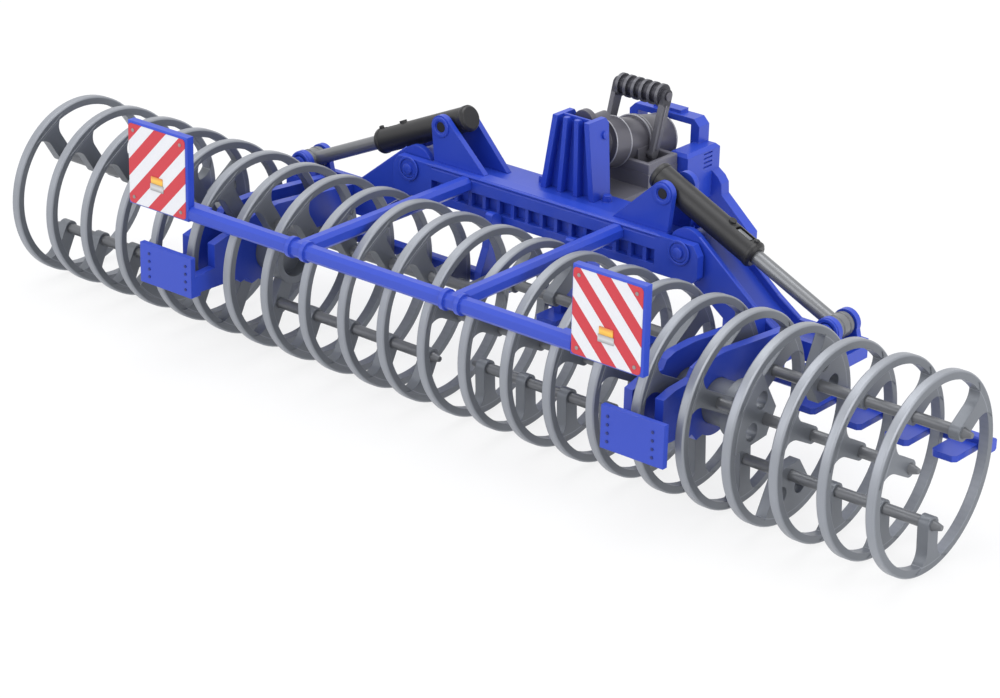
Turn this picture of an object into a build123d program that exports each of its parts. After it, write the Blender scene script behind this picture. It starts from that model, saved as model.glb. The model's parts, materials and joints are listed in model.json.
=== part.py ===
from build123d import *
import os
from math import atan2, cos, degrees, hypot, radians, sin

# Toy furrow press, millimetres, +Z up, +X along the rollers, +Y to the coupling.
# The layout is drawn about the roller axle at y = 0 and moved once on writing.

# ring rollers, one on each wing; rings are numbered from the middle outwards
RING_R = 21.875
RING_BORE_R = RING_R - 1.9
RING_W = 2.3
RING_EDGE = 0.35
RING_PITCH = 11.65
RING_COUNT = 11
HUB_RING = 6
WEB_RING = 8
AXLE_Z = RING_R
SPOKE_COUNT = 3
RIGHT_TURN_DEG = 33.0
LEFT_TURN_DEG = 3.0
ROD_R = 1.25
ROD_CIRCLE_R = RING_R - 10.575
SPOKE_HALF_W = 1.9
SPOKE_FILLET_R = 3.8
SPOKE_T = 2.6
HUB_R = 5.0
HUB_CUP_R = 6.4
HUB_CUP_BORE_R = 4.7
HUB_CUP_DEPTH = 3.0
HUB_CUP_LIP = 0.6
BEARING_GAP = 0.05
WEB_TURN_DEG = 26.0
WEB_HOLE_R = 2.0
WEB_HOLE_CIRCLE_R = ROD_CIRCLE_R + 3.9
WEB_HOLE_TURN_DEG = 13.0
CONE_L = 2.2
CONE_TIP_R = 0.6

# main beam and wing hinge
BEAM_SHORT = 35.9
BEAM_HALF_L = HUB_RING * RING_PITCH - BEAM_SHORT
BEAM_FRONT_GAP = 4.125
BEAM_FRONT_Y = RING_R + BEAM_FRONT_GAP
BEAM_D = 16.0
BEAM_BACK_Y = BEAM_FRONT_Y + BEAM_D
BEAM_TOP_Z = AXLE_Z + RING_R - 1.75
BEAM_BOTTOM_Z = BEAM_TOP_Z - 9.0
RAIL_D = 5.2
RAIL_H = 3.6
DECK_DROP = 1.6
DECK_T = 1.8
DECK_BOSS_R = 1.1
DECK_BOSS_H = 1.1
DECK_BOSS_AT = 3.0
LOW_RAIL_H = 2.0
BEAM_RIB_PITCH = 4.2
BEAM_RIB_T = 1.0
WALL = 1.6
ROOM = 0.4
HINGE_R = 4.8
HINGE_TUBE_R = 3.2
HINGE_X = BEAM_HALF_L + HINGE_R + ROOM
HINGE_Z = BEAM_TOP_Z - 2.4
PIN_R = 1.6
PIN_HEAD_R = 2.2
EAR_T = 2.2
EAR_REACH = 5.0

# folding cylinders
BARREL_R = 3.0
LUG_T = 1.5
CYL_Y = BEAM_FRONT_Y + 7.5
LUG_X = HINGE_X - 7.2
LUG_Z = BEAM_TOP_Z + 8.7
LUG_R = 2.8
LUG_FOOT_X = LUG_X - 13.4
ARM_REACH = 37.4
EYE_RISE = 8.625
EYE_X = HINGE_X + ARM_REACH
EYE_Z = AXLE_Z + EYE_RISE
EYE_R = 2.7
EYE_HALF_L = 2.3
EYE_LUG_T = 1.5
EYE_LUG_H = 5.5
ARM_SEAT_DROP = 3.5
ARM_SEAT_L = 13.2
ARM_SEAT_D = 3.0
ARM_END = 4.2
ARM_RISE = 0.6
BARREL_BACK = 5.6
BARREL_FRONT = 24.6
BARREL_BORE_START = 1.0
CYL_ROD_R = 1.7
ROD_START = 20.0
TRUNNION_R = 1.2
SLOT_START = 17.6
SLOT_END = 22.2
SLOT_W = 1.8
NIB_AT = 15.8
NIB_R = 0.9

# carriers that hold the rollers by their hubs
CARRIER_X = (HUB_RING - 0.5) * RING_PITCH
CARRIER_SPREAD = 4.0
CARRIER_T = 2.2
CARRIER_CHEEK_R = HUB_R + 2.7
PLATE_L = 16.3
PLATE_H = 9.7
PLATE_Z0 = AXLE_Z - 4.95
PLATE_Z1 = PLATE_Z0 + PLATE_H
PLATE_Y = -RING_R - 4.4
PLATE_T = 1.4
SHELF_D = 3.0

# scrapers
BAR_W = 2.8
BAR_Y = RING_R + 2.1
BAR_Z = AXLE_Z - 2.1
FINGER_TIP_Y = ROD_CIRCLE_R + 2.6
FINGER_W = 6.0
FINGER_T = 1.4
FINGER_EDGE = 0.8
POST_X = EYE_X - 4.1
STAY_T = 2.0
STAY_TOE = 4.0
STAY_TOP_Z = BEAM_TOP_Z - 5.5

# guard frame and boards
GUARD_TUBE = 3.5
GUARD_EDGE = 0.9
GUARD_Z = BEAM_TOP_Z - 2.0
GUARD_FRONT_Y = -RING_R - 7.8
GUARD_SIDE_X = 22.0
COLLAR_R = 2.4
COLLAR_W = 1.1
COLLAR_SPREAD = 2.1
BOARD_X0 = 54.4
BOARD_W = 18.6
BOARD_H = 19.8
BOARD_T = 2.2
BOARD_EDGE = 0.35
BOARD_Z0 = GUARD_Z - GUARD_TUBE / 2
BOARD_Y = GUARD_FRONT_Y - 1.95
BRACKET_T = 1.6

# tower
TOWER_TOP_Z = BEAM_TOP_Z + 16.4
TOWER_TOP_W = 10.4
TOWER_FOOT_W = 15.4
TOWER_FOOT_Y = BEAM_FRONT_Y + 9.6
TOWER_LEAN = 0.6
TOWER_RIB_T = 1.2
TOWER_RIB_D = 2.2
TOWER_RIB_COUNT = 4
TOWER_TOP_D = 7.2
TOWER_FOOT_D = 6.2

# coupling: deck, block, drum and handle
COUPLING_HALF_W = 11.6
COUPLING_DECK_Z = BEAM_TOP_Z - 3.8
COUPLING_DECK_T = 2.2
BLOCK_HALF_W = 10.8
BLOCK_L = 11.0
BLOCK_Y0 = BEAM_BACK_Y + 10.0
BLOCK_Y1 = BLOCK_Y0 + BLOCK_L
BLOCK_H = 5.5
BLOCK_STEP_H = 1.8
DRUM_Y = BLOCK_Y1 - 3.0
DRUM_Z = COUPLING_DECK_Z + BLOCK_H + 3.6
DRUM_TILT_DEG = 12.0
DRUM_STEPS = (
    (-16.0, -14.5, 4.6),
    (-14.5, -8.5, 6.0),
    (-8.5, -1.2, 5.4),
    (-1.2, 0.0, 6.0),
    (0.0, 9.6, 5.8),
    (9.6, 10.4, 5.0),
)
SADDLE_HALF_W = 5.6
SADDLE_HALF_L = 4.0
SADDLE_H = 4.0
KNOB_R = 2.76
KNOB_STEM_R = 1.7
KNOB_STEM_L = 8.0
KNOB_RISE = 9.3
KNOB_Z = DRUM_Z + KNOB_RISE
KNOB_Y0 = BEAM_BACK_Y - 1.1
HANDLE_Y = DRUM_Y - 1.4
HANDLE_Z = COUPLING_DECK_Z + 7.6
HANDLE_RISE = 13.1
HANDLE_LEAN = 4.2
HANDLE_IN_X = 6.3
HANDLE_LEG_T = 1.2
HANDLE_LEG_W = 2.3
HANDLE_LEG_TOP_W = 3.2
HANDLE_PIN_R = 0.9
HANDLE_PIN_L = 1.6
GRIP_R = 2.1
GRIP_RIB_R = 2.7
GRIP_RIB_PITCH = 2.3
GRIP_RIB_COUNT = 6
GRIP_RIB_W = 0.8

# headstock
HEAD_T = 3.0
HEAD_REACH = 12.8
HEAD_BACK_Y = BLOCK_Y1 + HEAD_REACH
HEAD_BLOCK_X0 = 7.8
HEAD_BLOCK_W = 5.8
HEAD_BLOCK_L = 12.6
HEAD_BLOCK_Z1 = DRUM_Z - 1.5
HEAD_BLOCK_H = 6.0
HEAD_GROOVE_COUNT = 4
HEAD_EDGE = 0.8
ARCH_TOP_Z = HEAD_BLOCK_Z1 + 5.6
ARCH_T = 1.5
ARCH_HALF_W = 10.2
ARCH_LEG_W = 2.4
ARCH_D = 4.0
ARCH_CAP_HALF_W = 4.0
ARCH_CAP_H = 0.8
FOOT_X = 22.9
FOOT_W = 5.0
FOOT_STEP = 2.0
FLANK_Z = AXLE_Z + 5.0
LINK_Z = 14.0
LINK_PIN_R = 1.6

FRONT_Y = BOARD_Y
BACK_Y = HEAD_BACK_Y
SHIFT_Y = -(FRONT_Y + BACK_Y) / 2


def box(x0, x1, y0, y1, z0, z1):
    centre = Pos((x0 + x1) / 2, (y0 + y1) / 2, (z0 + z1) / 2)
    return centre * Box(x1 - x0, y1 - y0, z1 - z0)


def rod_x(x0, x1, y, z, r):
    return Pos((x0 + x1) / 2, y, z) * Rot(0, 90, 0) * Cylinder(r, x1 - x0)


def rod_y(y0, y1, x, z, r):
    return Pos(x, (y0 + y1) / 2, z) * Rot(90, 0, 0) * Cylinder(r, y1 - y0)


def rod_z(z0, z1, x, y, r):
    return Pos(x, y, (z0 + z1) / 2) * Cylinder(r, z1 - z0)


def plate_yz(points, x0, x1):
    face = Plane.YZ * make_face(Polyline(*points, close=True))
    return Pos(x0, 0, 0) * extrude(face, amount=x1 - x0)


def plate_xz(points, y0, y1):
    face = Plane.XZ * make_face(Polyline(*points, close=True))
    return Pos(0, y1, 0) * extrude(face, amount=y1 - y0)


def join(shapes):
    total = shapes[0]
    for shape in shapes[1:]:
        total = total + shape
    return total


def group(shapes):
    return Compound([solid for shape in shapes for solid in shape.solids()])


def both_sides(shape):
    return [shape, mirror(shape, about=Plane.YZ)]


def write(name, shape):
    solids = [Pos(0, SHIFT_Y, 0) * solid for solid in shape.solids()]
    export_step(solids[0] if len(solids) == 1 else Compound(solids), f"parts/{name}.step")


def write_sides(name, shape):
    write(f"right_{name}", shape)
    write(f"left_{name}", mirror(shape, about=Plane.YZ))


def ring_x(number):
    return (number - 0.5) * RING_PITCH


def gap_x(number):
    return number * RING_PITCH


def polar(r, angle):
    return (r * cos(radians(angle)), AXLE_Z + r * sin(radians(angle)))


def rim(x):
    band = rod_x(x - RING_W / 2, x + RING_W / 2, 0, AXLE_Z, RING_R)
    band = band - rod_x(x - RING_W, x + RING_W, 0, AXLE_Z, RING_BORE_R)
    edges = band.edges().filter_by(GeomType.CIRCLE).group_by(SortBy.RADIUS)[-1]
    return chamfer(edges, RING_EDGE)


def spoke_angles(turn):
    return [turn + i * 360.0 / SPOKE_COUNT for i in range(SPOKE_COUNT)]


def spoke(x, angle, inner_r):
    outer = RING_BORE_R + RING_EDGE
    neck = outer - SPOKE_FILLET_R
    half = SPOKE_HALF_W
    wide = half + SPOKE_FILLET_R
    bend = SPOKE_FILLET_R * cos(radians(45))
    outline = Polyline((neck, half), (inner_r, half), (inner_r, -half), (neck, -half))
    outline = outline + ThreePointArc((neck, -half), (neck + bend, bend - wide), (outer, -wide))
    outline = outline + Line((outer, -wide), (outer, wide))
    outline = outline + ThreePointArc((outer, wide), (neck + bend, wide - bend), (neck, half))
    slab = extrude(Plane.YZ * make_face(outline), amount=SPOKE_T)
    return Pos(x - SPOKE_T / 2, 0, AXLE_Z) * Rot(angle, 0, 0) * slab


def open_ring(x, angles):
    parts = [rim(x)]
    for angle in angles:
        y, z = polar(ROD_CIRCLE_R, angle)
        parts.append(spoke(x, angle, ROD_CIRCLE_R))
        parts.append(rod_x(x - SPOKE_T / 2, x + SPOKE_T / 2, y, z, SPOKE_HALF_W))
    return join(parts)


def hub_ring(x, angles):
    return join([rim(x)] + [spoke(x, angle, HUB_R - 1.0) for angle in angles])


def web_ring(x, angles):
    parts = [rim(x)]
    outer = RING_BORE_R + RING_EDGE
    inner = ROD_CIRCLE_R - SPOKE_HALF_W
    for angle in angles:
        points = [polar(outer, angle + turn * WEB_TURN_DEG) for turn in (-1, -0.5, 0, 0.5, 1)]
        points += [polar(inner, angle + turn * WEB_TURN_DEG) for turn in (0.75, -0.75)]
        lobe = plate_yz(points, x - SPOKE_T / 2, x + SPOKE_T / 2)
        for turn in (-WEB_HOLE_TURN_DEG, WEB_HOLE_TURN_DEG):
            y, z = polar(WEB_HOLE_CIRCLE_R, angle + turn)
            lobe = lobe - rod_x(x - SPOKE_T, x + SPOKE_T, y, z, WEB_HOLE_R)
        parts.append(lobe)
    return join(parts)


def hub_piece(angles):
    inner = ring_x(HUB_RING - 1)
    outer = ring_x(HUB_RING + 1)
    start = inner - RING_W / 2 - HUB_CUP_LIP
    end = outer + RING_W / 2 + HUB_CUP_LIP
    parts = [rod_x(start, end, 0, AXLE_Z, HUB_R)]
    for x0, x1 in ((start, inner + RING_W / 2), (outer - RING_W / 2, end)):
        parts.append(rod_x(x0, x1, 0, AXLE_Z, HUB_CUP_R))
    for x in (inner, ring_x(HUB_RING), outer):
        parts.append(hub_ring(x, angles))
    hub = join(parts)
    for x0, x1 in ((start - HUB_CUP_LIP, start + HUB_CUP_DEPTH), (end - HUB_CUP_DEPTH, end + HUB_CUP_LIP)):
        hub = hub - rod_x(x0, x1, 0, AXLE_Z, HUB_CUP_BORE_R)
    return hub


def cone_tip(x, y, z, side):
    cone = Cone(ROD_R, CONE_TIP_R, CONE_L)
    return Pos(x + side * CONE_L / 2, y, z) * Rot(0, side * 90, 0) * cone


def roller_rods(angles):
    first = ring_x(1) - RING_W / 2
    last = ring_x(RING_COUNT) + RING_W / 2
    hub_x0 = ring_x(HUB_RING - 1) + RING_W / 2
    hub_x1 = ring_x(HUB_RING + 1) - RING_W / 2
    rods = []
    for y, z in [polar(ROD_CIRCLE_R, angle) for angle in angles]:
        rods.append(rod_x(first, hub_x0, y, z, ROD_R) + cone_tip(first, y, z, -1))
        rods.append(rod_x(hub_x1, last, y, z, ROD_R) + cone_tip(last, y, z, 1))
    return rods


def roller_rings(angles, rods):
    rings = [hub_piece(angles)]
    for number in range(1, RING_COUNT + 1):
        x = ring_x(number)
        if number == WEB_RING:
            rings.append(web_ring(x, angles))
        elif abs(number - HUB_RING) > 1:
            rings.append(open_ring(x, angles))
    for rod in rods:
        rings = [ring - rod for ring in rings]
    return rings


def roller(side, turn):
    rods = roller_rods(spoke_angles(turn))
    rings = roller_rings(spoke_angles(turn), rods)
    for name, pieces in (("rings", rings), ("ring_rods", rods)):
        shape = group(pieces)
        write(f"{side}_{name}", shape if side == "right" else mirror(shape, about=Plane.YZ))


def bearing_plate(points, x0, x1):
    plate = plate_yz(points, x0, x1) + rod_x(x0, x1, 0, AXLE_Z, CARRIER_CHEEK_R)
    return plate - rod_x(x0 - WALL, x1 + WALL, 0, AXLE_Z, HUB_R + BEARING_GAP)


def hinge_ear(y0, y1, head_y0, head_y1):
    out = HINGE_X + EAR_REACH
    points = [(BEAM_HALF_L - WALL, BEAM_BOTTOM_Z), (out - 1.5, BEAM_BOTTOM_Z), (out, BEAM_BOTTOM_Z + 1.5)]
    points += [(out, HINGE_Z), (out - 1.5, BEAM_TOP_Z), (BEAM_HALF_L - WALL, BEAM_TOP_Z)]
    ear = plate_xz(points, y0, y1)
    return ear + rod_y(head_y0, head_y1, HINGE_X, HINGE_Z, PIN_HEAD_R)


def beam_front():
    rail_z0 = BEAM_TOP_Z - RAIL_H
    wall_y = BEAM_FRONT_Y + RAIL_D - 2 * WALL
    rail = box(-BEAM_HALF_L, BEAM_HALF_L, BEAM_FRONT_Y, BEAM_FRONT_Y + RAIL_D, rail_z0, BEAM_TOP_Z)
    rail = chamfer(rail.edges().filter_by(Axis.X).sort_by(Axis.Z)[-2:], GUARD_EDGE)
    low_z1 = BEAM_BOTTOM_Z + LOW_RAIL_H
    parts = [rail, box(-BEAM_HALF_L, BEAM_HALF_L, BEAM_FRONT_Y, wall_y + WALL, BEAM_BOTTOM_Z, low_z1)]
    parts.append(box(-BEAM_HALF_L, BEAM_HALF_L, wall_y, wall_y + WALL, BEAM_BOTTOM_Z, rail_z0))
    rib_count = int(BEAM_HALF_L // BEAM_RIB_PITCH)
    for i in range(-rib_count, rib_count + 1):
        x = i * BEAM_RIB_PITCH
        y0 = BEAM_FRONT_Y + ROOM
        parts.append(box(x - BEAM_RIB_T / 2, x + BEAM_RIB_T / 2, y0, wall_y, low_z1, rail_z0))
    return join(parts)


def main_beam():
    deck_z = BEAM_TOP_Z - DECK_DROP
    half = BEAM_HALF_L
    rail_back = BEAM_FRONT_Y + RAIL_D
    parts = [beam_front(), box(-half, half, rail_back, BEAM_BACK_Y, deck_z - DECK_T, deck_z)]
    parts.append(box(-half, half, BEAM_BACK_Y - WALL, BEAM_BACK_Y, BEAM_BOTTOM_Z, deck_z))
    end_wall = box(half - WALL, half, rail_back - WALL, BEAM_BACK_Y, BEAM_BOTTOM_Z, deck_z)
    front_ear = hinge_ear(BEAM_FRONT_Y, BEAM_FRONT_Y + EAR_T, BEAM_FRONT_Y - ROOM, BEAM_FRONT_Y)
    back_ear = hinge_ear(BEAM_BACK_Y - EAR_T, BEAM_BACK_Y, BEAM_BACK_Y, BEAM_BACK_Y + ROOM)
    pin = rod_y(BEAM_FRONT_Y, BEAM_BACK_Y, HINGE_X, HINGE_Z, PIN_R)
    boss_y = TOWER_FOOT_Y + DECK_BOSS_AT
    boss = rod_z(deck_z, deck_z + DECK_BOSS_H, TOWER_FOOT_W / 2 + WALL, boss_y, DECK_BOSS_R)
    for piece in (end_wall, front_ear, back_ear, pin, boss):
        parts += both_sides(piece)
    deck_bottom = COUPLING_DECK_Z - COUPLING_DECK_T
    wide = COUPLING_HALF_W
    parts.append(box(-wide, wide, BEAM_BACK_Y - WALL, HEAD_BACK_Y - HEAD_T, deck_bottom, COUPLING_DECK_Z))
    write("main_beam", join(parts))


def lug_plate(y0, y1, foot_z):
    shoulder = atan2(LUG_Z - foot_z, LUG_X - LUG_FOOT_X) + radians(90)
    lean = (LUG_X + LUG_R * cos(shoulder), LUG_Z + LUG_R * sin(shoulder))
    foot_x1 = BEAM_HALF_L - ROOM / 2
    plate = plate_xz([(LUG_FOOT_X, foot_z), (foot_x1, foot_z), (LUG_X + LUG_R, LUG_Z), lean], y0, y1)
    plate = plate + rod_y(y0, y1, LUG_X, LUG_Z, LUG_R)
    return plate - rod_y(y0 - WALL, y1 + WALL, LUG_X, LUG_Z, TRUNNION_R + BEARING_GAP)


def cylinder_lugs():
    front_y1 = CYL_Y - BARREL_R - ROOM
    back_y0 = CYL_Y + BARREL_R + ROOM
    front = lug_plate(front_y1 - LUG_T, front_y1, BEAM_TOP_Z)
    back = lug_plate(back_y0, back_y0 + LUG_T, BEAM_TOP_Z - DECK_DROP)
    write("cylinder_lugs", group(both_sides(front) + both_sides(back)))


def on_cylinder(shape):
    tilt = degrees(atan2(EYE_Z - LUG_Z, EYE_X - LUG_X))
    return Pos(LUG_X, CYL_Y, LUG_Z) * Rot(0, -tilt, 0) * shape


def fold_barrel():
    body = rod_x(-BARREL_BACK, BARREL_FRONT, 0, 0, BARREL_R)
    ends = body.edges().filter_by(GeomType.CIRCLE)
    body = chamfer(ends, ROOM)
    body = body - rod_x(BARREL_BORE_START, BARREL_FRONT + WALL, 0, 0, CYL_ROD_R + BEARING_GAP)
    body = body - box(SLOT_START, SLOT_END, -SLOT_W / 2, SLOT_W / 2, 0, BARREL_R + WALL)
    body = body + rod_z(BARREL_R - 1.0, BARREL_R + 0.5, NIB_AT, 0, NIB_R)
    reach = BARREL_R + ROOM + LUG_T
    for y0, y1 in ((-reach, 1.0 - BARREL_R), (BARREL_R - 1.0, reach)):
        body = body + rod_y(y0, y1, 0, 0, TRUNNION_R)
    write_sides("barrel", on_cylinder(body))


def fold_rod():
    length = hypot(EYE_X - LUG_X, EYE_Z - LUG_Z)
    rod = rod_x(ROD_START, length, 0, 0, CYL_ROD_R)
    rod = rod + rod_y(-EYE_HALF_L, EYE_HALF_L, length, 0, EYE_R)
    write_sides("cylinder_rod", on_cylinder(rod))


def eye_lug(side):
    inner = CYL_Y + side * (EYE_HALF_L + ROOM)
    outer = inner + side * EYE_LUG_T
    y0, y1 = sorted((inner, outer))
    foot_z = EYE_Z - EYE_LUG_H
    points = [(EYE_X - EYE_R - 1.4, foot_z), (EYE_X + EYE_R + 1.4, foot_z)]
    points += [(EYE_X + EYE_R, EYE_Z), (EYE_X - EYE_R, EYE_Z)]
    lug = plate_xz(points, y0, y1) + rod_y(y0, y1, EYE_X, EYE_Z, EYE_R + ROOM)
    head_y0, head_y1 = sorted((outer - side * ROOM, outer + side * ROOM))
    return lug + rod_y(head_y0, head_y1, EYE_X, EYE_Z, TRUNNION_R)


def wing_arm():
    y0 = BEAM_FRONT_Y + EAR_T + ROOM
    y1 = BEAM_BACK_Y - EAR_T - ROOM
    foot_z = EYE_Z - ARM_SEAT_DROP
    seat_x = EYE_X - ARM_SEAT_L
    end_x = EYE_X + ARM_END
    low_z = AXLE_Z + ARM_RISE
    crest = [(HINGE_X + 3.3, HINGE_Z + 3.5), (seat_x - 5.9, foot_z + 4.0), (seat_x, foot_z), (end_x, foot_z)]
    belly = [(end_x, low_z), (seat_x - 8.2, low_z), (HINGE_X - 2.2, HINGE_Z - 4.3)]
    cheek = plate_xz(crest + belly, y0, y0 + WALL) + rod_y(y0, y0 + WALL, HINGE_X, HINGE_Z, HINGE_R)
    arm = cheek + Pos(0, y1 - y0 - WALL, 0) * cheek
    sunk = [(x + (0.0 if x == end_x else -0.6), z - 1.4) for x, z in crest]
    seat_z = foot_z - ARM_SEAT_D
    under = [(end_x - WALL, low_z), (end_x - WALL, seat_z), (seat_x - WALL, seat_z)]
    under += [(seat_x - 7.3, foot_z + 0.9), (HINGE_X + 2.0, HINGE_Z - 2.0)]
    web = plate_xz(sunk + [(end_x, low_z)] + under, y0, y1)
    arm = arm + web + rod_y(y0, y1, HINGE_X, HINGE_Z, HINGE_TUBE_R)
    arm = arm - rod_y(y0 - WALL, y1 + WALL, HINGE_X, HINGE_Z, PIN_R + BEARING_GAP)
    arm = arm - on_cylinder(rod_x(-BARREL_BACK, BARREL_FRONT + ROOM, 0, 0, BARREL_R + ROOM))
    for side in (-1, 1):
        arm = arm + eye_lug(side)
    write_sides("wing_arm", arm)


def wing_carrier():
    back_y = BEAM_FRONT_Y + EAR_T + ROOM
    low_z = AXLE_Z + ARM_RISE
    plate_y1 = PLATE_Y + PLATE_T
    top = [(back_y, AXLE_Z + 8.0), (12.0, AXLE_Z + 9.4), (3.0, AXLE_Z + 10.2), (-4.0, AXLE_Z + 10.1)]
    top += [(-7.0, AXLE_Z + 9.2), (-8.2, AXLE_Z + 7.4), (-14.6, AXLE_Z + 7.0), (-18.6, AXLE_Z + 6.0)]
    top += [(-18.6, AXLE_Z + 0.4), (plate_y1, AXLE_Z)]
    bottom = [(plate_y1, PLATE_Z0 + 0.9), (-11.4, PLATE_Z0 + 0.4), (-10.2, AXLE_Z - 5.6)]
    bottom += [(-8.0, AXLE_Z - 5.2), (-6.4, AXLE_Z - 7.0), (8.0, AXLE_Z - 3.0)]
    bottom += [(14.0, low_z), (back_y, low_z)]
    parts = []
    for x in (CARRIER_X - CARRIER_SPREAD, CARRIER_X + CARRIER_SPREAD):
        parts.append(bearing_plate(top + bottom, x - CARRIER_T / 2, x + CARRIER_T / 2))
    x0 = CARRIER_X - CARRIER_SPREAD - CARRIER_T / 2
    x1 = CARRIER_X + CARRIER_SPREAD + CARRIER_T / 2
    parts.append(box(x0, x0 + PLATE_L, PLATE_Y, plate_y1, PLATE_Z0, PLATE_Z1))
    parts.append(box(x0, x1, PLATE_Y, PLATE_Y + SHELF_D, PLATE_Z0, PLATE_Z0 + PLATE_T))
    write_sides("carrier", join(parts))


def finger(number):
    x = gap_x(number)
    z0 = BAR_Z - BAR_W / 2
    blade = box(x - FINGER_W / 2, x + FINGER_W / 2, FINGER_TIP_Y, BAR_Y, z0, z0 + FINGER_T)
    corners = blade.edges().filter_by(Axis.Z).sort_by(Axis.Y)[:2]
    return chamfer(corners, FINGER_EDGE)


def scraper_stay():
    x = gap_x(1)
    half = BAR_W / 2
    toe_y = BAR_Y - half - STAY_TOE
    points = [(toe_y, BAR_Z - half), (BAR_Y + half, BAR_Z - half), (BAR_Y + half, STAY_TOP_Z - 1.5)]
    points += [(BAR_Y, STAY_TOP_Z), (BAR_Y - 2.0, STAY_TOP_Z), (BAR_Y - 3.0, STAY_TOP_Z - 8.0)]
    points += [(toe_y, BAR_Z + half + 2.0)]
    stay = plate_yz(points, x - STAY_T / 2, x + STAY_T / 2)
    return chamfer(stay.edges().filter_by(Axis.X).sort_by(Axis.Z)[-2:], ROOM)


def wing_scraper():
    half = BAR_W / 2
    bar_top = BAR_Z + half
    bar = box(ring_x(1), ring_x(RING_COUNT), BAR_Y - half, BAR_Y + half, BAR_Z - half, bar_top)
    parts = [chamfer(bar.edges().filter_by(Axis.X), ROOM), scraper_stay()]
    for number in range(1, RING_COUNT):
        if abs(number + 0.5 - HUB_RING) > 1:
            parts.append(finger(number))
    low_z = AXLE_Z + ARM_RISE
    for side in (-1, 1):
        x0 = CARRIER_X + side * CARRIER_SPREAD - CARRIER_T / 2
        parts.append(box(x0, x0 + CARRIER_T, BAR_Y - 1.0, BAR_Y + 1.0, bar_top - ROOM, low_z))
    arm_y = BEAM_FRONT_Y + EAR_T + ROOM
    parts.append(box(POST_X, POST_X + FINGER_W, BAR_Y - half, arm_y + WALL * 3, bar_top - 1.0, low_z))
    write_sides("scraper", join(parts))


def guard_tube_x(x0, x1):
    half = GUARD_TUBE / 2
    tube = box(x0, x1, GUARD_FRONT_Y - half, GUARD_FRONT_Y + half, GUARD_Z - half, GUARD_Z + half)
    return chamfer(tube.edges().filter_by(Axis.X), GUARD_EDGE)


def guard_tube_y(x):
    half = GUARD_TUBE / 2
    tube = box(x - half, x + half, GUARD_FRONT_Y, BEAM_FRONT_Y, GUARD_Z - half, GUARD_Z + half)
    return chamfer(tube.edges().filter_by(Axis.Y), GUARD_EDGE)


def guard_frame():
    parts = [guard_tube_x(-BOARD_X0, BOARD_X0)]
    pieces = [guard_tube_y(GUARD_SIDE_X)]
    for side in (-1, 1):
        x = GUARD_SIDE_X + side * COLLAR_SPREAD
        pieces.append(rod_x(x - COLLAR_W / 2, x + COLLAR_W / 2, GUARD_FRONT_Y, GUARD_Z, COLLAR_R))
    y0 = BOARD_Y + BOARD_T
    pieces.append(box(BOARD_X0 - 4.0, BOARD_X0 + 10.0, y0, y0 + BRACKET_T, BOARD_Z0, BOARD_Z0 + GUARD_TUBE))
    for piece in pieces:
        parts += both_sides(piece)
    write("guard_frame", join(parts))
    board = box(BOARD_X0, BOARD_X0 + BOARD_W, BOARD_Y, BOARD_Y + BOARD_T, BOARD_Z0, BOARD_Z0 + BOARD_H)
    edges = board.faces().sort_by(Axis.Y)[0].edges()
    write("warning_boards", group(both_sides(chamfer(edges, BOARD_EDGE))))


def tower_slab(inset, y0, y1):
    foot = TOWER_FOOT_W / 2 - inset
    top = TOWER_TOP_W / 2 - inset
    z0 = BEAM_TOP_Z - DECK_DROP
    return plate_xz([(-foot, z0), (foot, z0), (top, TOWER_TOP_Z), (-top, TOWER_TOP_Z)], y0, y1)


def tower_side(depth_foot, depth_top, start):
    z0 = BEAM_TOP_Z - DECK_DROP
    foot_y = TOWER_FOOT_Y + start
    top_y = foot_y + TOWER_LEAN
    points = [(foot_y, z0), (foot_y + depth_foot, z0), (top_y + depth_top, TOWER_TOP_Z - 1.2)]
    points += [(top_y + depth_top - 1.0, TOWER_TOP_Z), (top_y, TOWER_TOP_Z)]
    half = TOWER_FOOT_W / 2
    return plate_yz(points, -half, half)


def tower():
    back_y = BEAM_BACK_Y + 4.0
    shell = tower_slab(0, TOWER_FOOT_Y, back_y) - tower_slab(WALL - 0.2, TOWER_FOOT_Y - WALL, back_y + WALL)
    parts = [shell & tower_side(TOWER_FOOT_D, TOWER_TOP_D, 0)]
    parts.append(tower_slab(0.2, TOWER_FOOT_Y, back_y) & tower_side(WALL, WALL, TOWER_RIB_D))
    z0 = BEAM_TOP_Z - DECK_DROP
    for i in range(1, TOWER_RIB_COUNT - 1):
        share = i / (TOWER_RIB_COUNT - 1) - 0.5
        foot_x = share * (TOWER_FOOT_W - TOWER_RIB_T)
        top_x = share * (TOWER_TOP_W - TOWER_RIB_T)
        half = TOWER_RIB_T / 2
        outline = [(foot_x - half, z0), (foot_x + half, z0)]
        outline += [(top_x + half, TOWER_TOP_Z), (top_x - half, TOWER_TOP_Z)]
        rib = plate_xz(outline, TOWER_FOOT_Y, back_y)
        parts.append(rib & tower_side(TOWER_RIB_D, TOWER_RIB_D, 0))
    write("tower", join(parts))


def drum_body():
    body = join([rod_y(y0, y1, 0, 0, r) for y0, y1, r in DRUM_STEPS])
    return Pos(0, DRUM_Y, DRUM_Z) * Rot(-DRUM_TILT_DEG, 0, 0) * body


def coupling_block():
    z0 = COUPLING_DECK_Z
    block = box(-BLOCK_HALF_W, BLOCK_HALF_W, BLOCK_Y0, BLOCK_Y1, z0, z0 + BLOCK_H)
    edges = block.faces().sort_by(Axis.Z)[-1].edges()
    step = box(-BLOCK_HALF_W, BLOCK_HALF_W, BEAM_BACK_Y, BLOCK_Y0, z0, z0 + BLOCK_STEP_H)
    write("coupling_block", chamfer(edges, ROOM) + step - drum_body())


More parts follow.
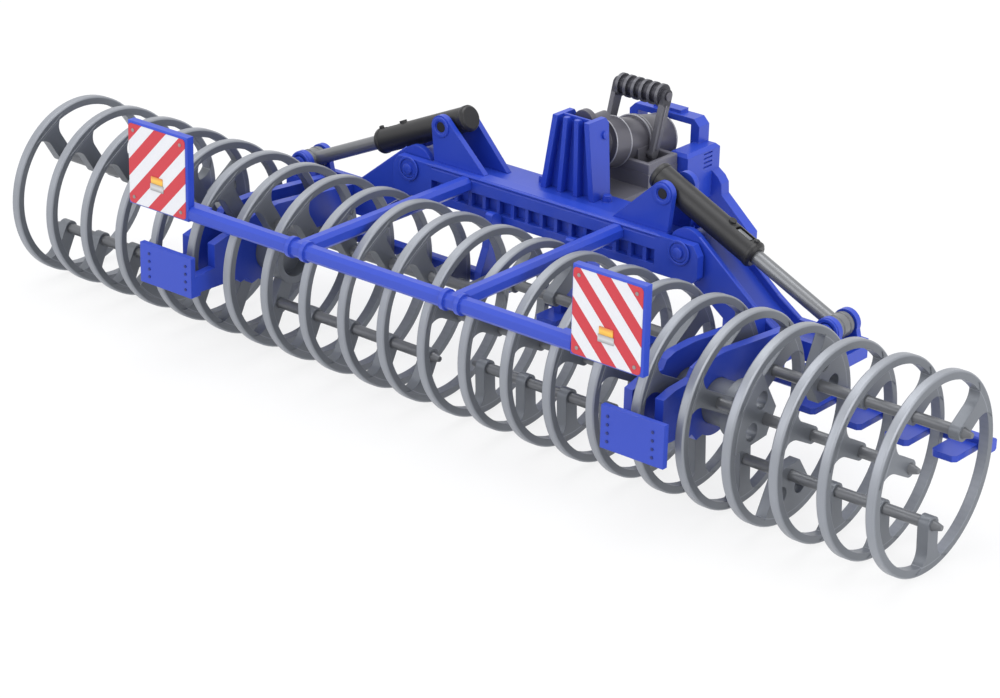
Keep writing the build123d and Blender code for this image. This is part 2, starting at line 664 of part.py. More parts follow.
def drum():
    saddle_z0 = COUPLING_DECK_Z + BLOCK_H
    y0 = HANDLE_Y - SADDLE_HALF_L
    y1 = HANDLE_Y + SADDLE_HALF_L
    saddle = box(-SADDLE_HALF_W, SADDLE_HALF_W, y0, y1, saddle_z0, saddle_z0 + SADDLE_H)
    knob = rod_y(KNOB_Y0, KNOB_Y0 + WALL, 0, KNOB_Z, KNOB_R)
    stem = rod_y(KNOB_Y0, KNOB_Y0 + KNOB_STEM_L, 0, KNOB_Z - 1.0, KNOB_STEM_R)
    whole = join([drum_body(), saddle, knob, stem])
    reach = SADDLE_HALF_W + WALL
    write("drum", whole - rod_x(-reach, reach, HANDLE_Y, HANDLE_Z, HANDLE_PIN_R + BEARING_GAP))


def handle():
    length = hypot(HANDLE_LEAN, HANDLE_RISE)
    lean = degrees(atan2(HANDLE_LEAN, HANDLE_RISE))
    outer = HANDLE_IN_X + HANDLE_LEG_T
    low = HANDLE_LEG_W / 2
    top = HANDLE_LEG_TOP_W / 2
    leg = plate_yz([(-low, 0), (low, 0), (top, length), (-top, length)], HANDLE_IN_X, outer)
    for z, r in ((0, low), (length, top)):
        leg = leg + rod_x(HANDLE_IN_X, outer, 0, z, r)
    pin = rod_x(HANDLE_IN_X - HANDLE_PIN_L, HANDLE_IN_X, 0, 0, HANDLE_PIN_R)
    grip = rod_x(-HANDLE_IN_X, HANDLE_IN_X, 0, length, GRIP_R)
    for i in range(GRIP_RIB_COUNT):
        x = (i - (GRIP_RIB_COUNT - 1) / 2) * GRIP_RIB_PITCH
        grip = grip + rod_x(x - GRIP_RIB_W / 2, x + GRIP_RIB_W / 2, 0, length, GRIP_RIB_R)
    body = join([grip] + both_sides(leg + pin))
    write("handle", Pos(0, HANDLE_Y, HANDLE_Z) * Rot(-lean, 0, 0) * body)


def head_plate():
    y0 = HEAD_BACK_Y - HEAD_T
    low = COUPLING_DECK_Z - COUPLING_DECK_T
    edge = HEAD_BLOCK_X0 + HEAD_BLOCK_W
    out = FOOT_X + FOOT_W / 2
    into = FOOT_X - FOOT_W / 2
    outer = [(edge, HEAD_BLOCK_Z1 - 1.0), (edge, HEAD_BLOCK_Z1 - 6.0), (edge + 1.9, HEAD_BLOCK_Z1 - 7.3)]
    outer += [(edge + 3.0, low + 1.0), (edge + 3.2, low - 1.7)]
    outer += [(out, FLANK_Z), (out, 0.0), (into, 0.0), (into, FLANK_Z - 3.0)]
    inner = [(edge + 1.0, low - 5.0), (0.0, low - 5.0), (0.0, COUPLING_DECK_Z)]
    inner += [(HEAD_BLOCK_X0, COUPLING_DECK_Z), (HEAD_BLOCK_X0, HEAD_BLOCK_Z1 - 1.0)]
    plate = plate_xz(outer + inner, y0, HEAD_BACK_Y)
    foot = box(into, out, y0 - FOOT_STEP, HEAD_BACK_Y, 0.0, FLANK_Z - 3.0)
    hole_y = HEAD_BACK_Y - (HEAD_T + FOOT_STEP) / 2
    return plate + foot - rod_x(into - WALL, out + WALL, hole_y, LINK_Z, LINK_PIN_R)


def head_block():
    x1 = HEAD_BLOCK_X0 + HEAD_BLOCK_W
    y0 = HEAD_BACK_Y - HEAD_BLOCK_L
    z0 = HEAD_BLOCK_Z1 - HEAD_BLOCK_H
    block = box(HEAD_BLOCK_X0, x1, y0, HEAD_BACK_Y, z0, HEAD_BLOCK_Z1)
    block = chamfer(block.faces().sort_by(Axis.Z)[-1].edges(), HEAD_EDGE)
    pitch = (HEAD_BLOCK_H - 2 * HEAD_EDGE) / HEAD_GROOVE_COUNT
    groove = ROOM / 2
    for i in range(HEAD_GROOVE_COUNT):
        z = z0 + HEAD_EDGE + (i + 0.5) * pitch
        slot_y0 = y0 + HEAD_BLOCK_L / 2
        block = block - box(x1 - ROOM, x1 + WALL, slot_y0, HEAD_BACK_Y + WALL, z - groove, z + groove)
    low = COUPLING_DECK_Z - COUPLING_DECK_T
    points = [(y0, z0), (HEAD_BACK_Y - HEAD_T, z0), (HEAD_BACK_Y - HEAD_T, low - 3.0), (y0 + 2.0, low)]
    points += [(y0 - 4.0, low), (y0 - 4.0, COUPLING_DECK_Z)]
    return block + plate_yz(points, COUPLING_HALF_W, x1)


def arch():
    half = ARCH_HALF_W
    leg = half - ARCH_LEG_W
    foot = HEAD_BLOCK_Z1 - 1.0
    points = [(half, foot), (half, ARCH_TOP_Z - 1.6), (half - 1.6, ARCH_TOP_Z), (0, ARCH_TOP_Z)]
    points += [(0, ARCH_TOP_Z - ARCH_T), (leg, ARCH_TOP_Z - ARCH_T), (leg, foot)]
    y0 = HEAD_BACK_Y - ARCH_D
    cap = box(0, ARCH_CAP_HALF_W, y0 + 1.0, HEAD_BACK_Y, ARCH_TOP_Z, ARCH_TOP_Z + ARCH_CAP_H)
    return plate_xz(points, y0, HEAD_BACK_Y) + cap


def headstock():
    write("headstock", join(both_sides(head_plate() + head_block() + arch())))


def main():
    os.makedirs("parts", exist_ok=True)
    roller("right", RIGHT_TURN_DEG)
    roller("left", LEFT_TURN_DEG)
    main_beam()
    cylinder_lugs()
    fold_barrel()
    fold_rod()
    wing_arm()
    wing_carrier()
    wing_scraper()
    guard_frame()
    tower()
    coupling_block()
    drum()
    handle()
    headstock()


main()
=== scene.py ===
"""Finishes, printed boards, fasteners, camera and light of a toy furrow press."""

import json
import logging
import math
from dataclasses import dataclass, field
from enum import Enum
from typing import Callable, Iterable

import bmesh
import bpy
from mathutils import Matrix, Vector


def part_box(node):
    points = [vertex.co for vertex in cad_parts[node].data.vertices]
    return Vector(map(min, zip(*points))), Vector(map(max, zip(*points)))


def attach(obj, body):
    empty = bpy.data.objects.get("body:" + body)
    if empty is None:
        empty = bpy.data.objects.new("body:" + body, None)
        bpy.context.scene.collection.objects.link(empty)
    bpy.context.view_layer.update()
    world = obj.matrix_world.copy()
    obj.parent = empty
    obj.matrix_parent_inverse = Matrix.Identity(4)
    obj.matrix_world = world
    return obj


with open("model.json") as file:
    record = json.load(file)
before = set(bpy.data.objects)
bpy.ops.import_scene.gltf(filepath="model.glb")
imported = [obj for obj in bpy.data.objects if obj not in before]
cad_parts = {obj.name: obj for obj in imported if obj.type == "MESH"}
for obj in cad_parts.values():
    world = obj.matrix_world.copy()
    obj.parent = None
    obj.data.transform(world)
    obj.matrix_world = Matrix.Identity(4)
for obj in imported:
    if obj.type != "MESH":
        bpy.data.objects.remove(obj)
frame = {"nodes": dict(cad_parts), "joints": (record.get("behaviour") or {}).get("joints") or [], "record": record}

LOG = logging.getLogger("furrow_press")
MM = 0.001
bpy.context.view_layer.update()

Pair = tuple[float, float]
Triple = tuple[float, float, float]
Colour = Triple

SAME_WAY = 0.9  # least cosine between two directions that count as one
SHARP_EDGE = math.radians(40.0)  # edges bent more than this get a bevel
SOFT_EDGE = 0.22 * MM  # radius that the shading gives to every edge
ROUND_SHADE = 50.0  # degrees up to which the facets of small round pieces are shaded smooth
BAND_SIDES = 48
BAND_EDGE = 0.25  # rounding of a flat ring as a share of its smallest measure
BEAD_SIDES = 12
BEAD_TIP = 0.45  # rounding of a bead's end as a share of its radius
STUD_SIDES = 20
STUD_DEPTH = 1.2  # length of a stud's bar as a share of its height
STUD_DOME = ((0.35, 0.25), (0.3, 0.1))  # inset by radius and rise by height, step by step
FINE_GRAIN = 0.02 * MM
PRINT_GRAIN = 0.01 * MM
ROD_EYE_RADIUS = 2.7 * MM
GRIP_RADIUS = 2.7 * MM


class Side(Enum):
    """Which half of the toy a piece belongs to."""

    RIGHT = 1
    LEFT = -1

    @property
    def word(self) -> str:
        """Name of the half, as the bodies use it."""
        return self.name.lower()


class Axis(Enum):
    """Direction that a round piece faces."""

    X = (1.0, 0.0, 0.0)
    Y = (0.0, 1.0, 0.0)
    Z = (0.0, 0.0, 1.0)

    @property
    def vector(self) -> Vector:
        """The direction as a vector."""
        return Vector(self.value)


class Element(Enum):
    """Kind of mesh element that can be selected, with its name in a mesh."""

    FACE = "faces"
    EDGE = "edges"


class LampPart(Enum):
    """Half of the small lamp, with its printed colours from the bottom up."""

    LENS = ((0.7, 0.36, 0.04), (0.84, 0.5, 0.07), (0.62, 0.2, 0.05))
    HOUSING = ((0.25, 0.25, 0.26), (0.56, 0.56, 0.56), (0.36, 0.35, 0.33))


FRONT = -Axis.Y.vector


def clear_selection() -> None:
    """Leaves edit mode and deselects every object."""
    if bpy.context.object and bpy.context.object.mode != "OBJECT":
        bpy.ops.object.mode_set(mode="OBJECT")
    bpy.ops.object.select_all(action="DESELECT")


def activate(piece: bpy.types.Object) -> None:
    """Leaves edit mode and makes one object the only selected and active one.

    Args:
        piece: The object to work on.
    """
    clear_selection()
    piece.select_set(True)
    bpy.context.view_layer.objects.active = piece


def select(piece: bpy.types.Object, element: Element, test: Callable[..., bool]) -> None:
    """Opens a piece in edit mode and selects the faces or edges that pass a test.

    Args:
        piece: The object to open.
        element: Which kind is selected.
        test: Tells whether a face or an edge is wanted.
    """
    activate(piece)
    bpy.ops.object.mode_set(mode="EDIT")
    bpy.ops.mesh.select_mode(type=element.name)
    bpy.ops.mesh.select_all(action="DESELECT")
    mesh = bmesh.from_edit_mesh(piece.data)
    for item in getattr(mesh, element.value):
        if test(item):
            item.select_set(True)
    mesh.select_flush_mode()
    bmesh.update_edit_mesh(piece.data)


def settle(piece: bpy.types.Object, angle: float = 35.0) -> bpy.types.Object:
    """Puts a piece's place into its mesh and cleans its normals.

    Args:
        piece: The object to finish.
        angle: Edges flatter than this many degrees are shaded smooth.

    Returns:
        The same object.
    """
    activate(piece)
    bpy.ops.object.mode_set(mode="EDIT")
    bpy.ops.mesh.select_all(action="SELECT")
    bpy.ops.mesh.normals_make_consistent(inside=False)
    bpy.ops.object.mode_set(mode="OBJECT")
    bpy.ops.object.transform_apply(location=True, rotation=True, scale=True)
    bpy.ops.object.shade_smooth_by_angle(angle=math.radians(angle))
    clear_selection()
    return piece


def rename(piece: bpy.types.Object, name: str) -> bpy.types.Object:
    """Gives a piece and its mesh one name.

    Args:
        piece: The object to name.
        name: Its new name.

    Returns:
        The same object.
    """
    piece.name = name
    piece.data.name = name
    return piece


def block(name: str, low: Vector, high: Vector) -> bpy.types.Object:
    """Adds a block between two corners.

    Args:
        name: Name of the piece.
        low: Lowest corner in metres.
        high: Highest corner in metres.

    Returns:
        The new object, its place in its mesh.
    """
    clear_selection()
    bpy.ops.mesh.primitive_cube_add(size=1.0, location=(low + high) / 2)
    bpy.context.object.scale = high - low
    bpy.ops.object.transform_apply(location=True, rotation=True, scale=True)
    return rename(bpy.context.object, name)


def disc(
    name: str, centre: Vector, along: Vector, radius: float, depth: float, sides: int
) -> bpy.types.Object:
    """Adds a short round bar with its axis in a given direction.

    Args:
        name: Name of the piece.
        centre: Middle of the bar in metres.
        along: Direction of its axis.
        radius: Radius in metres.
        depth: Length along the axis in metres.
        sides: How many flats the circle has.

    Returns:
        The new object, its place in its mesh.
    """
    clear_selection()
    turn = Axis.Z.vector.rotation_difference(along).to_euler()
    bpy.ops.mesh.primitive_cylinder_add(
        vertices=sides, radius=radius, depth=depth, location=centre, rotation=turn
    )
    bpy.ops.object.transform_apply(location=True, rotation=True, scale=True)
    return rename(bpy.context.object, name)


def soften(piece: bpy.types.Object, width: float, segments: int = 2) -> None:
    """Rounds the sharp edges of a piece with an applied bevel.

    Args:
        piece: The object to round.
        width: Width of the bevel in metres.
        segments: How many steps the rounding has.
    """
    activate(piece)
    bevel = piece.modifiers.new("round", "BEVEL")
    bevel.width = width
    bevel.segments = segments
    bevel.limit_method = "ANGLE"
    bevel.angle_limit = SHARP_EDGE
    bpy.ops.object.modifier_apply(modifier=bevel.name)


def repeat(piece: bpy.types.Object, offset: Vector) -> bpy.types.Object:
    """Copies a piece with its own mesh to another place.

    Args:
        piece: The object to copy.
        offset: How far the copy is moved, in metres.

    Returns:
        The copy.
    """
    activate(piece)
    bpy.ops.object.duplicate(linked=False)
    twin = bpy.context.object
    twin.data.transform(Matrix.Translation(offset))
    return twin


def merge(name: str, pieces: Iterable[bpy.types.Object]) -> bpy.types.Object:
    """Joins several objects into one.

    Args:
        name: Name of the joined piece.
        pieces: The objects, of which the first is kept.

    Returns:
        The joined object.
    """
    first, *others = pieces
    activate(first)
    for piece in others:
        piece.select_set(True)
    if others:
        bpy.ops.object.join()
    return rename(first, name)


def band(
    name: str, centre: Vector, along: Vector, outer: float, inner: float, depth: float
) -> bpy.types.Object:
    """Models a flat ring with a softened edge.

    Args:
        name: Name of the piece.
        centre: Middle of the ring in metres.
        along: Direction of its axis.
        outer: Outer radius in metres.
        inner: Radius of its hole in metres.
        depth: Length along the axis in metres.

    Returns:
        The ring, its place in its mesh.
    """
    piece = disc(name, centre, along, outer, depth, BAND_SIDES)
    select(piece, Element.FACE, lambda face: abs(face.normal.dot(along)) > SAME_WAY)
    bpy.ops.mesh.inset(thickness=outer - inner, depth=0.0)
    bpy.ops.mesh.bridge_edge_loops()
    soften(piece, min(depth, outer - inner) * BAND_EDGE)
    return settle(piece)


def bead(name: str, points: Iterable[Vector], radius: float) -> bpy.types.Object:
    """Models a thin round bead that follows straight runs.

    Args:
        name: Name of the piece.
        points: Corners of the bead in metres.
        radius: Radius in metres.

    Returns:
        The runs with rounded ends as one object.
    """
    points = list(points)
    runs = []
    for start, end in zip(points, points[1:]):
        run = end - start
        length = run.length + radius
        piece = disc(name, (start + end) / 2, run.normalized(), radius, length, BEAD_SIDES)
        soften(piece, radius * BEAD_TIP)
        runs.append(piece)
    return settle(merge(name, runs), ROUND_SHADE)


def studs(
    name: str, places: Iterable[Vector], out: Vector, radius: float, height: float
) -> bpy.types.Object:
    """Models one domed stud and copies it to every place.

    Args:
        name: Name of the joined studs.
        places: Middle of each stud's foot in metres.
        out: Direction in which the studs stand out.
        radius: Radius of a stud in metres.
        height: Height of a stud in metres.

    Returns:
        All the studs as one object.
    """
    start, *others = places
    first = disc(name, start + out * height / 2, out, radius, height * STUD_DEPTH, STUD_SIDES)
    select(first, Element.FACE, lambda face: face.normal.dot(out) > SAME_WAY)
    for inset, rise in STUD_DOME:
        bpy.ops.mesh.inset(thickness=radius * inset, depth=height * rise)
    rest = [repeat(first, spot - start) for spot in others]
    return settle(merge(name, [first] + rest), ROUND_SHADE)


def joint(name: str) -> dict:
    """Finds a joint of the frame by its name."""
    return next(item for item in frame["joints"] if item["name"] == name)


def joint_place(name: str) -> Vector:
    """Gives a point on a joint's axis at rest, in metres."""
    return Vector(joint(name)["pos_m"])


def rod_eye(side: Side) -> Vector:
    """Finds the middle of a cylinder rod's eye.

    Args:
        side: Which cylinder.

    Returns:
        The point in metres.
    """
    low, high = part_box(f"{side.word}_cylinder_rod")
    edge = high.x if side is Side.RIGHT else low.x
    x = edge - side.value * ROD_EYE_RADIUS
    return Vector((x, (low.y + high.y) / 2, low.z + ROD_EYE_RADIUS))


class Tree:
    """A node tree that starts empty, with short ways to add and link its nodes."""

    def __init__(self, tree: bpy.types.NodeTree) -> None:
        """Empties a node tree.

        Args:
            tree: The tree to fill.
        """
        self.tree = tree
        self.tree.nodes.clear()

    def add(self, kind: str, **values: object) -> bpy.types.Node:
        """Adds a node and sets its properties or inputs.

        Args:
            kind: Blender's name of the node type.
            **values: Properties, or inputs by name with _ for a space.

        Returns:
            The new node.
        """
        node = self.tree.nodes.new(kind)
        for key, value in values.items():
            if hasattr(node, key):
                setattr(node, key, value)
            else:
                node.inputs[key.replace("_", " ")].default_value = value
        return node

    def link(self, a: bpy.types.Node, out: str | int, b: bpy.types.Node, into: str | int) -> None:
        """Links an output to an input.

        Args:
            a: Node that gives the value.
            out: Its output, by name or number.
            b: Node that takes the value.
            into: Its input, by name or number.
        """
        self.tree.links.new(a.outputs[out], b.inputs[into])

    def math(self, operation: str, source: bpy.types.Node, out: str | int, *values: float) -> bpy.types.Node:
        """Adds a calculation with one value and fixed numbers.

        Args:
            operation: Blender's name of the calculation.
            source: Node that gives the first value.
            out: Its output.
            *values: The numbers that follow it.

        Returns:
            The node; its result is output 0.
        """
        node = self.add("ShaderNodeMath", operation=operation)
        self.link(source, out, node, 0)
        for place_at, value in enumerate(values, 1):
            node.inputs[place_at].default_value = value
        return node

    def shown(self) -> bpy.types.Node:
        """Adds nodes that tell which rays see the white background.

        Returns:
            The last node; its output 0 is 1 for camera, glossy and transmission rays.
        """
        rays = self.add("ShaderNodeLightPath")
        glossy = self.math("MAXIMUM", rays, "Is Camera Ray")
        self.link(rays, "Is Glossy Ray", glossy, 1)
        clear = self.math("MAXIMUM", glossy, 0)
        self.link(rays, "Is Transmission Ray", clear, 1)
        return clear


class Finish(Tree):
    """The nodes of one material, around a principled shader."""

    def __init__(self, name: str) -> None:
        """Starts an empty material.

        Args:
            name: Name of the material.
        """
        self.material = bpy.data.materials.new(name)
        self.material.use_nodes = True
        super().__init__(self.material.node_tree)
        self.output = self.add("ShaderNodeOutputMaterial")
        self.shader = self.add("ShaderNodeBsdfPrincipled")
        self.link(self.shader, "BSDF", self.output, "Surface")
        self.coords = self.add("ShaderNodeTexCoord")

    def noise(self, scale: float, detail: float, stretch: Triple | None = None) -> bpy.types.Node:
        """Adds noise on the object's own coordinates.

        Args:
            scale: Scale of the noise.
            detail: Its detail.
            stretch: Scale along each axis, where the grain runs one way.

        Returns:
            The noise node; its value is output 0.
        """
        node = self.add("ShaderNodeTexNoise", Scale=scale, Detail=detail)
        if stretch is None:
            self.link(self.coords, "Object", node, "Vector")
        else:
            mapping = self.add("ShaderNodeMapping", Scale=stretch)
            self.link(self.coords, "Object", mapping, "Vector")
            self.link(mapping, "Vector", node, "Vector")
        return node

    def split(self) -> bpy.types.Node:
        """Adds the object's own coordinates as single values.

        Returns:
            The node with the outputs X, Y and Z.
        """
        node = self.add("ShaderNodeSeparateXYZ")
        self.link(self.coords, "Object", node, 0)
        return node

    def ramp(self, source: bpy.types.Node, out: str | int, low: float, high: float) -> bpy.types.Node:
        """Maps a value between 0 and 1 to a range.

        Args:
            source: Node that gives the value.
            out: Its output.
            low: Result at 0.
            high: Result at 1.

        Returns:
            The map node; its result is output 0.
        """
        node = self.add("ShaderNodeMapRange", To_Min=low, To_Max=high)
        self.link(source, out, node, "Value")
        return node

    def tint(self, source: bpy.types.Node, out: str | int, dark: Colour, light: Colour) -> bpy.types.Node:
        """Mixes two colours by a value.

        Args:
            source: Node that gives the share of the light colour.
            out: Its output.
            dark: Colour at 0.
            light: Colour at 1.

        Returns:
            The mix node; its colour is output 2.
        """
        node = self.add("ShaderNodeMix", data_type="RGBA")
        node.inputs[6].default_value = (*dark, 1.0)
        node.inputs[7].default_value = (*light, 1.0)
        self.link(source, out, node, 0)
        return node

    def steps(
        self, source: bpy.types.Node, out: str | int, stops: list[tuple[float, Colour]]
    ) -> bpy.types.Node:
        """Turns a value between 0 and 1 into a colour by a scale.

        Args:
            source: Node that gives the value.
            out: Its output.
            stops: Place from 0 to 1 and linear colour of each stop, in order.

        Returns:
            The scale node; its colour is output 0.
        """
        node = self.add("ShaderNodeValToRGB")
        elements = node.color_ramp.elements
        while len(elements) < len(stops):
            elements.new(1.0)
        for element, (place_at, colour) in zip(elements, stops):
            element.position = place_at
            element.color = (*colour, 1.0)
        self.link(source, out, node, "Fac")
        return node

    def colour(
        self, source: bpy.types.Node, out: str | int, shade: bpy.types.Node | None = None
    ) -> None:
        """Sets the base colour.

        Args:
            source: Node that gives the colour.
            out: Its output.
            shade: Node whose output 0 makes the colour darker or lighter.
        """
        if shade is not None:
            toned = self.add("ShaderNodeVectorMath", operation="SCALE")
            self.link(source, out, toned, 0)
            self.link(shade, 0, toned, "Scale")
            source, out = toned, 0
        self.link(source, out, self.shader, "Base Color")

    def surface(
        self, gloss: bpy.types.Node, span: Pair, relief: bpy.types.Node, strength: float, height: float
    ) -> None:
        """Sets roughness, a fine relief and softly rounded edges.

        Args:
            gloss: Node whose output 0 varies the roughness.
            span: Lowest and highest roughness.
            relief: Node whose output 0 gives the relief.
            strength: How strong the relief is.
            height: Its height in metres.
        """
        self.link(self.ramp(gloss, 0, *span), 0, self.shader, "Roughness")
        bump = self.add("ShaderNodeBump", Strength=strength, Distance=height)
        edge = self.add("ShaderNodeBevel", samples=6, Radius=SOFT_EDGE)
        self.link(edge, "Normal", bump, "Normal")
        self.link(relief, 0, bump, "Height")
        self.link(bump, "Normal", self.shader, "Normal")


@dataclass(frozen=True)
class MouldedPlastic:
    """Injection-moulded plastic with a faint flow pattern and fine grain.

    Attributes:
        name: Name of the material.
        colour: Base colour, linear.
        gloss: Lowest and highest roughness.
        flow: How far the colour varies with the flow pattern, 0 to 1.
        metal: Metallic share, for plastic with a metal pigment.
        grain: Height of the fine grain in metres.
    """

    name: str
    colour: Colour
    gloss: Pair
    flow: float
    metal: float = 0.0
    grain: float = FINE_GRAIN

    def build(self) -> bpy.types.Material:
        """Makes the node material.

        Returns:
            The material.
        """
        finish = Finish(self.name)
        dark = tuple(c * (1 - self.flow) for c in self.colour)
        light = tuple(min(1.0, c * (1 + self.flow)) for c in self.colour)
        flow = finish.noise(scale=60.0, detail=4.0)
        finish.colour(finish.tint(flow, 0, dark, light), 2)
        gloss = finish.noise(scale=140.0, detail=5.0)
        grain = finish.noise(scale=2600.0, detail=2.0)
        finish.surface(gloss, self.gloss, grain, strength=0.25, height=self.grain)
        finish.shader.inputs["Metallic"].default_value = self.metal
        return finish.material


@dataclass(frozen=True)
class TurnedPlastic:
    """Grey plastic whose colour changes with the distance from an axis along X.

    Attributes:
        name: Name of the material.
        axis: Place of the axis along Y and Z in metres.
        reach: Radius at the end of the scale, in metres.
        bands: Radius in metres and linear colour of each step, from the axis outwards.
        gloss: Lowest and highest roughness.
        tone: Lowest and highest factor of the flow pattern on the colour.
        metal: Metallic share.
    """

    name: str
    axis: Pair
    reach: float
    bands: tuple[tuple[float, Colour], ...]
    gloss: Pair = (0.34, 0.5)
    tone: Pair = (0.88, 1.1)
    metal: float = 0.5

    def build(self) -> bpy.types.Material:
        """Makes the node material.

        Returns:
            The material.
        """
        finish = Finish(self.name)
        shift = finish.add("ShaderNodeMapping", Location=(0.0, -self.axis[0], -self.axis[1]))
        finish.link(finish.coords, "Object", shift, "Vector")
        flat = finish.add("ShaderNodeVectorMath", operation="MULTIPLY")
        flat.inputs[1].default_value = (0.0, 1.0 / self.reach, 1.0 / self.reach)
        finish.link(shift, "Vector", flat, 0)
        length = finish.add("ShaderNodeVectorMath", operation="LENGTH")
        finish.link(flat, "Vector", length, 0)
        stops = [(radius / self.reach, colour) for radius, colour in self.bands]
        scale = finish.steps(length, "Value", stops)
        flow = finish.ramp(finish.noise(scale=90.0, detail=4.0), 0, *self.tone)
        finish.colour(scale, 0, flow)
        lines = finish.noise(scale=1.0, detail=3.0, stretch=(4200.0, 60.0, 60.0))
        finish.surface(lines, self.gloss, lines, strength=0.2, height=FINE_GRAIN)
        finish.shader.inputs["Metallic"].default_value = self.metal
        return finish.material


@dataclass(frozen=True)
class FadedPrint:
    """Printed colour that fades from one height to another.

    Attributes:
        name: Name of the material.
        heights: Lowest and highest height of the print in metres.
        colours: Linear colours, evenly spaced from the bottom up.
        gloss: Lowest and highest roughness.
    """

    name: str
    heights: Pair
    colours: tuple[Colour, ...]
    gloss: Pair = (0.25, 0.38)

    def build(self) -> bpy.types.Material:
        """Makes the node material.

        Returns:
            The material.
        """
        finish = Finish(self.name)
        low, high = self.heights
        share = finish.add("ShaderNodeMapRange", From_Min=low, From_Max=high)
        finish.link(finish.split(), "Z", share, "Value")
        last = len(self.colours) - 1
        stops = [(i / last, colour) for i, colour in enumerate(self.colours)]
        finish.colour(finish.steps(share, 0, stops), 0)
        gloss = finish.noise(scale=900.0, detail=3.0)
        grain = finish.noise(scale=2600.0, detail=2.0)
        finish.surface(gloss, self.gloss, grain, strength=0.2, height=PRINT_GRAIN)
        return finish.material


@dataclass(frozen=True)
class StripedPrint:
    """Plain red and white warning stripes along the board's diagonal.

    Attributes:
        name: Name of the material.
        side: Which board it is on; the stripes of the two mirror each other.
        centre: Middle of the print in metres, X and Z.
        size: Width and height of the print in metres.
        period: One red and one white stripe, as a share of the diagonal's offset.
        start: Where the first stripe starts, in periods.
        red_share: Share of a period that is red.
        red: Linear colour of the red stripes.
        white: Linear colour of the white stripes.
        gloss: Lowest and highest roughness.
        cell_tone: Lowest and highest factor of the film's small cells on the colour.
    """

    name: str
    side: Side
    centre: Pair
    size: Pair
    period: float = 0.437
    start: float = 8.25
    red_share: float = 0.49
    red: Colour = (0.55, 0.03, 0.045)
    white: Colour = (0.7, 0.7, 0.72)
    gloss: Pair = (0.28, 0.4)
    cell_tone: Pair = (0.95, 1.0)

    def build(self) -> bpy.types.Material:
        """Makes the node material.

        Returns:
            The material.
        """
        finish = Finish(self.name)
        split = finish.split()
        across, up = self.side.value / self.size[0], 1.0 / self.size[1]
        run = finish.math("MULTIPLY_ADD", split, "X", across, -self.centre[0] * across)
        rise = finish.math("MULTIPLY_ADD", split, "Z", up, -self.centre[1] * up)
        total = finish.math("ADD", run, 0)
        finish.link(rise, 0, total, 1)
        scaled = finish.math("MULTIPLY_ADD", total, 0, 1.0 / self.period, self.start)
        part = finish.math("FRACT", scaled, 0)
        stripe = finish.math("GREATER_THAN", part, 0, self.red_share)
        cells = finish.add("ShaderNodeTexVoronoi", Scale=2600.0)
        finish.link(finish.coords, "Object", cells, "Vector")
        shade = finish.ramp(cells, "Distance", *self.cell_tone)
        finish.colour(finish.tint(stripe, 0, self.red, self.white), 2, shade)
        gloss = finish.noise(scale=900.0, detail=3.0)
        finish.surface(gloss, self.gloss, cells, strength=0.12, height=PRINT_GRAIN)
        return finish.material


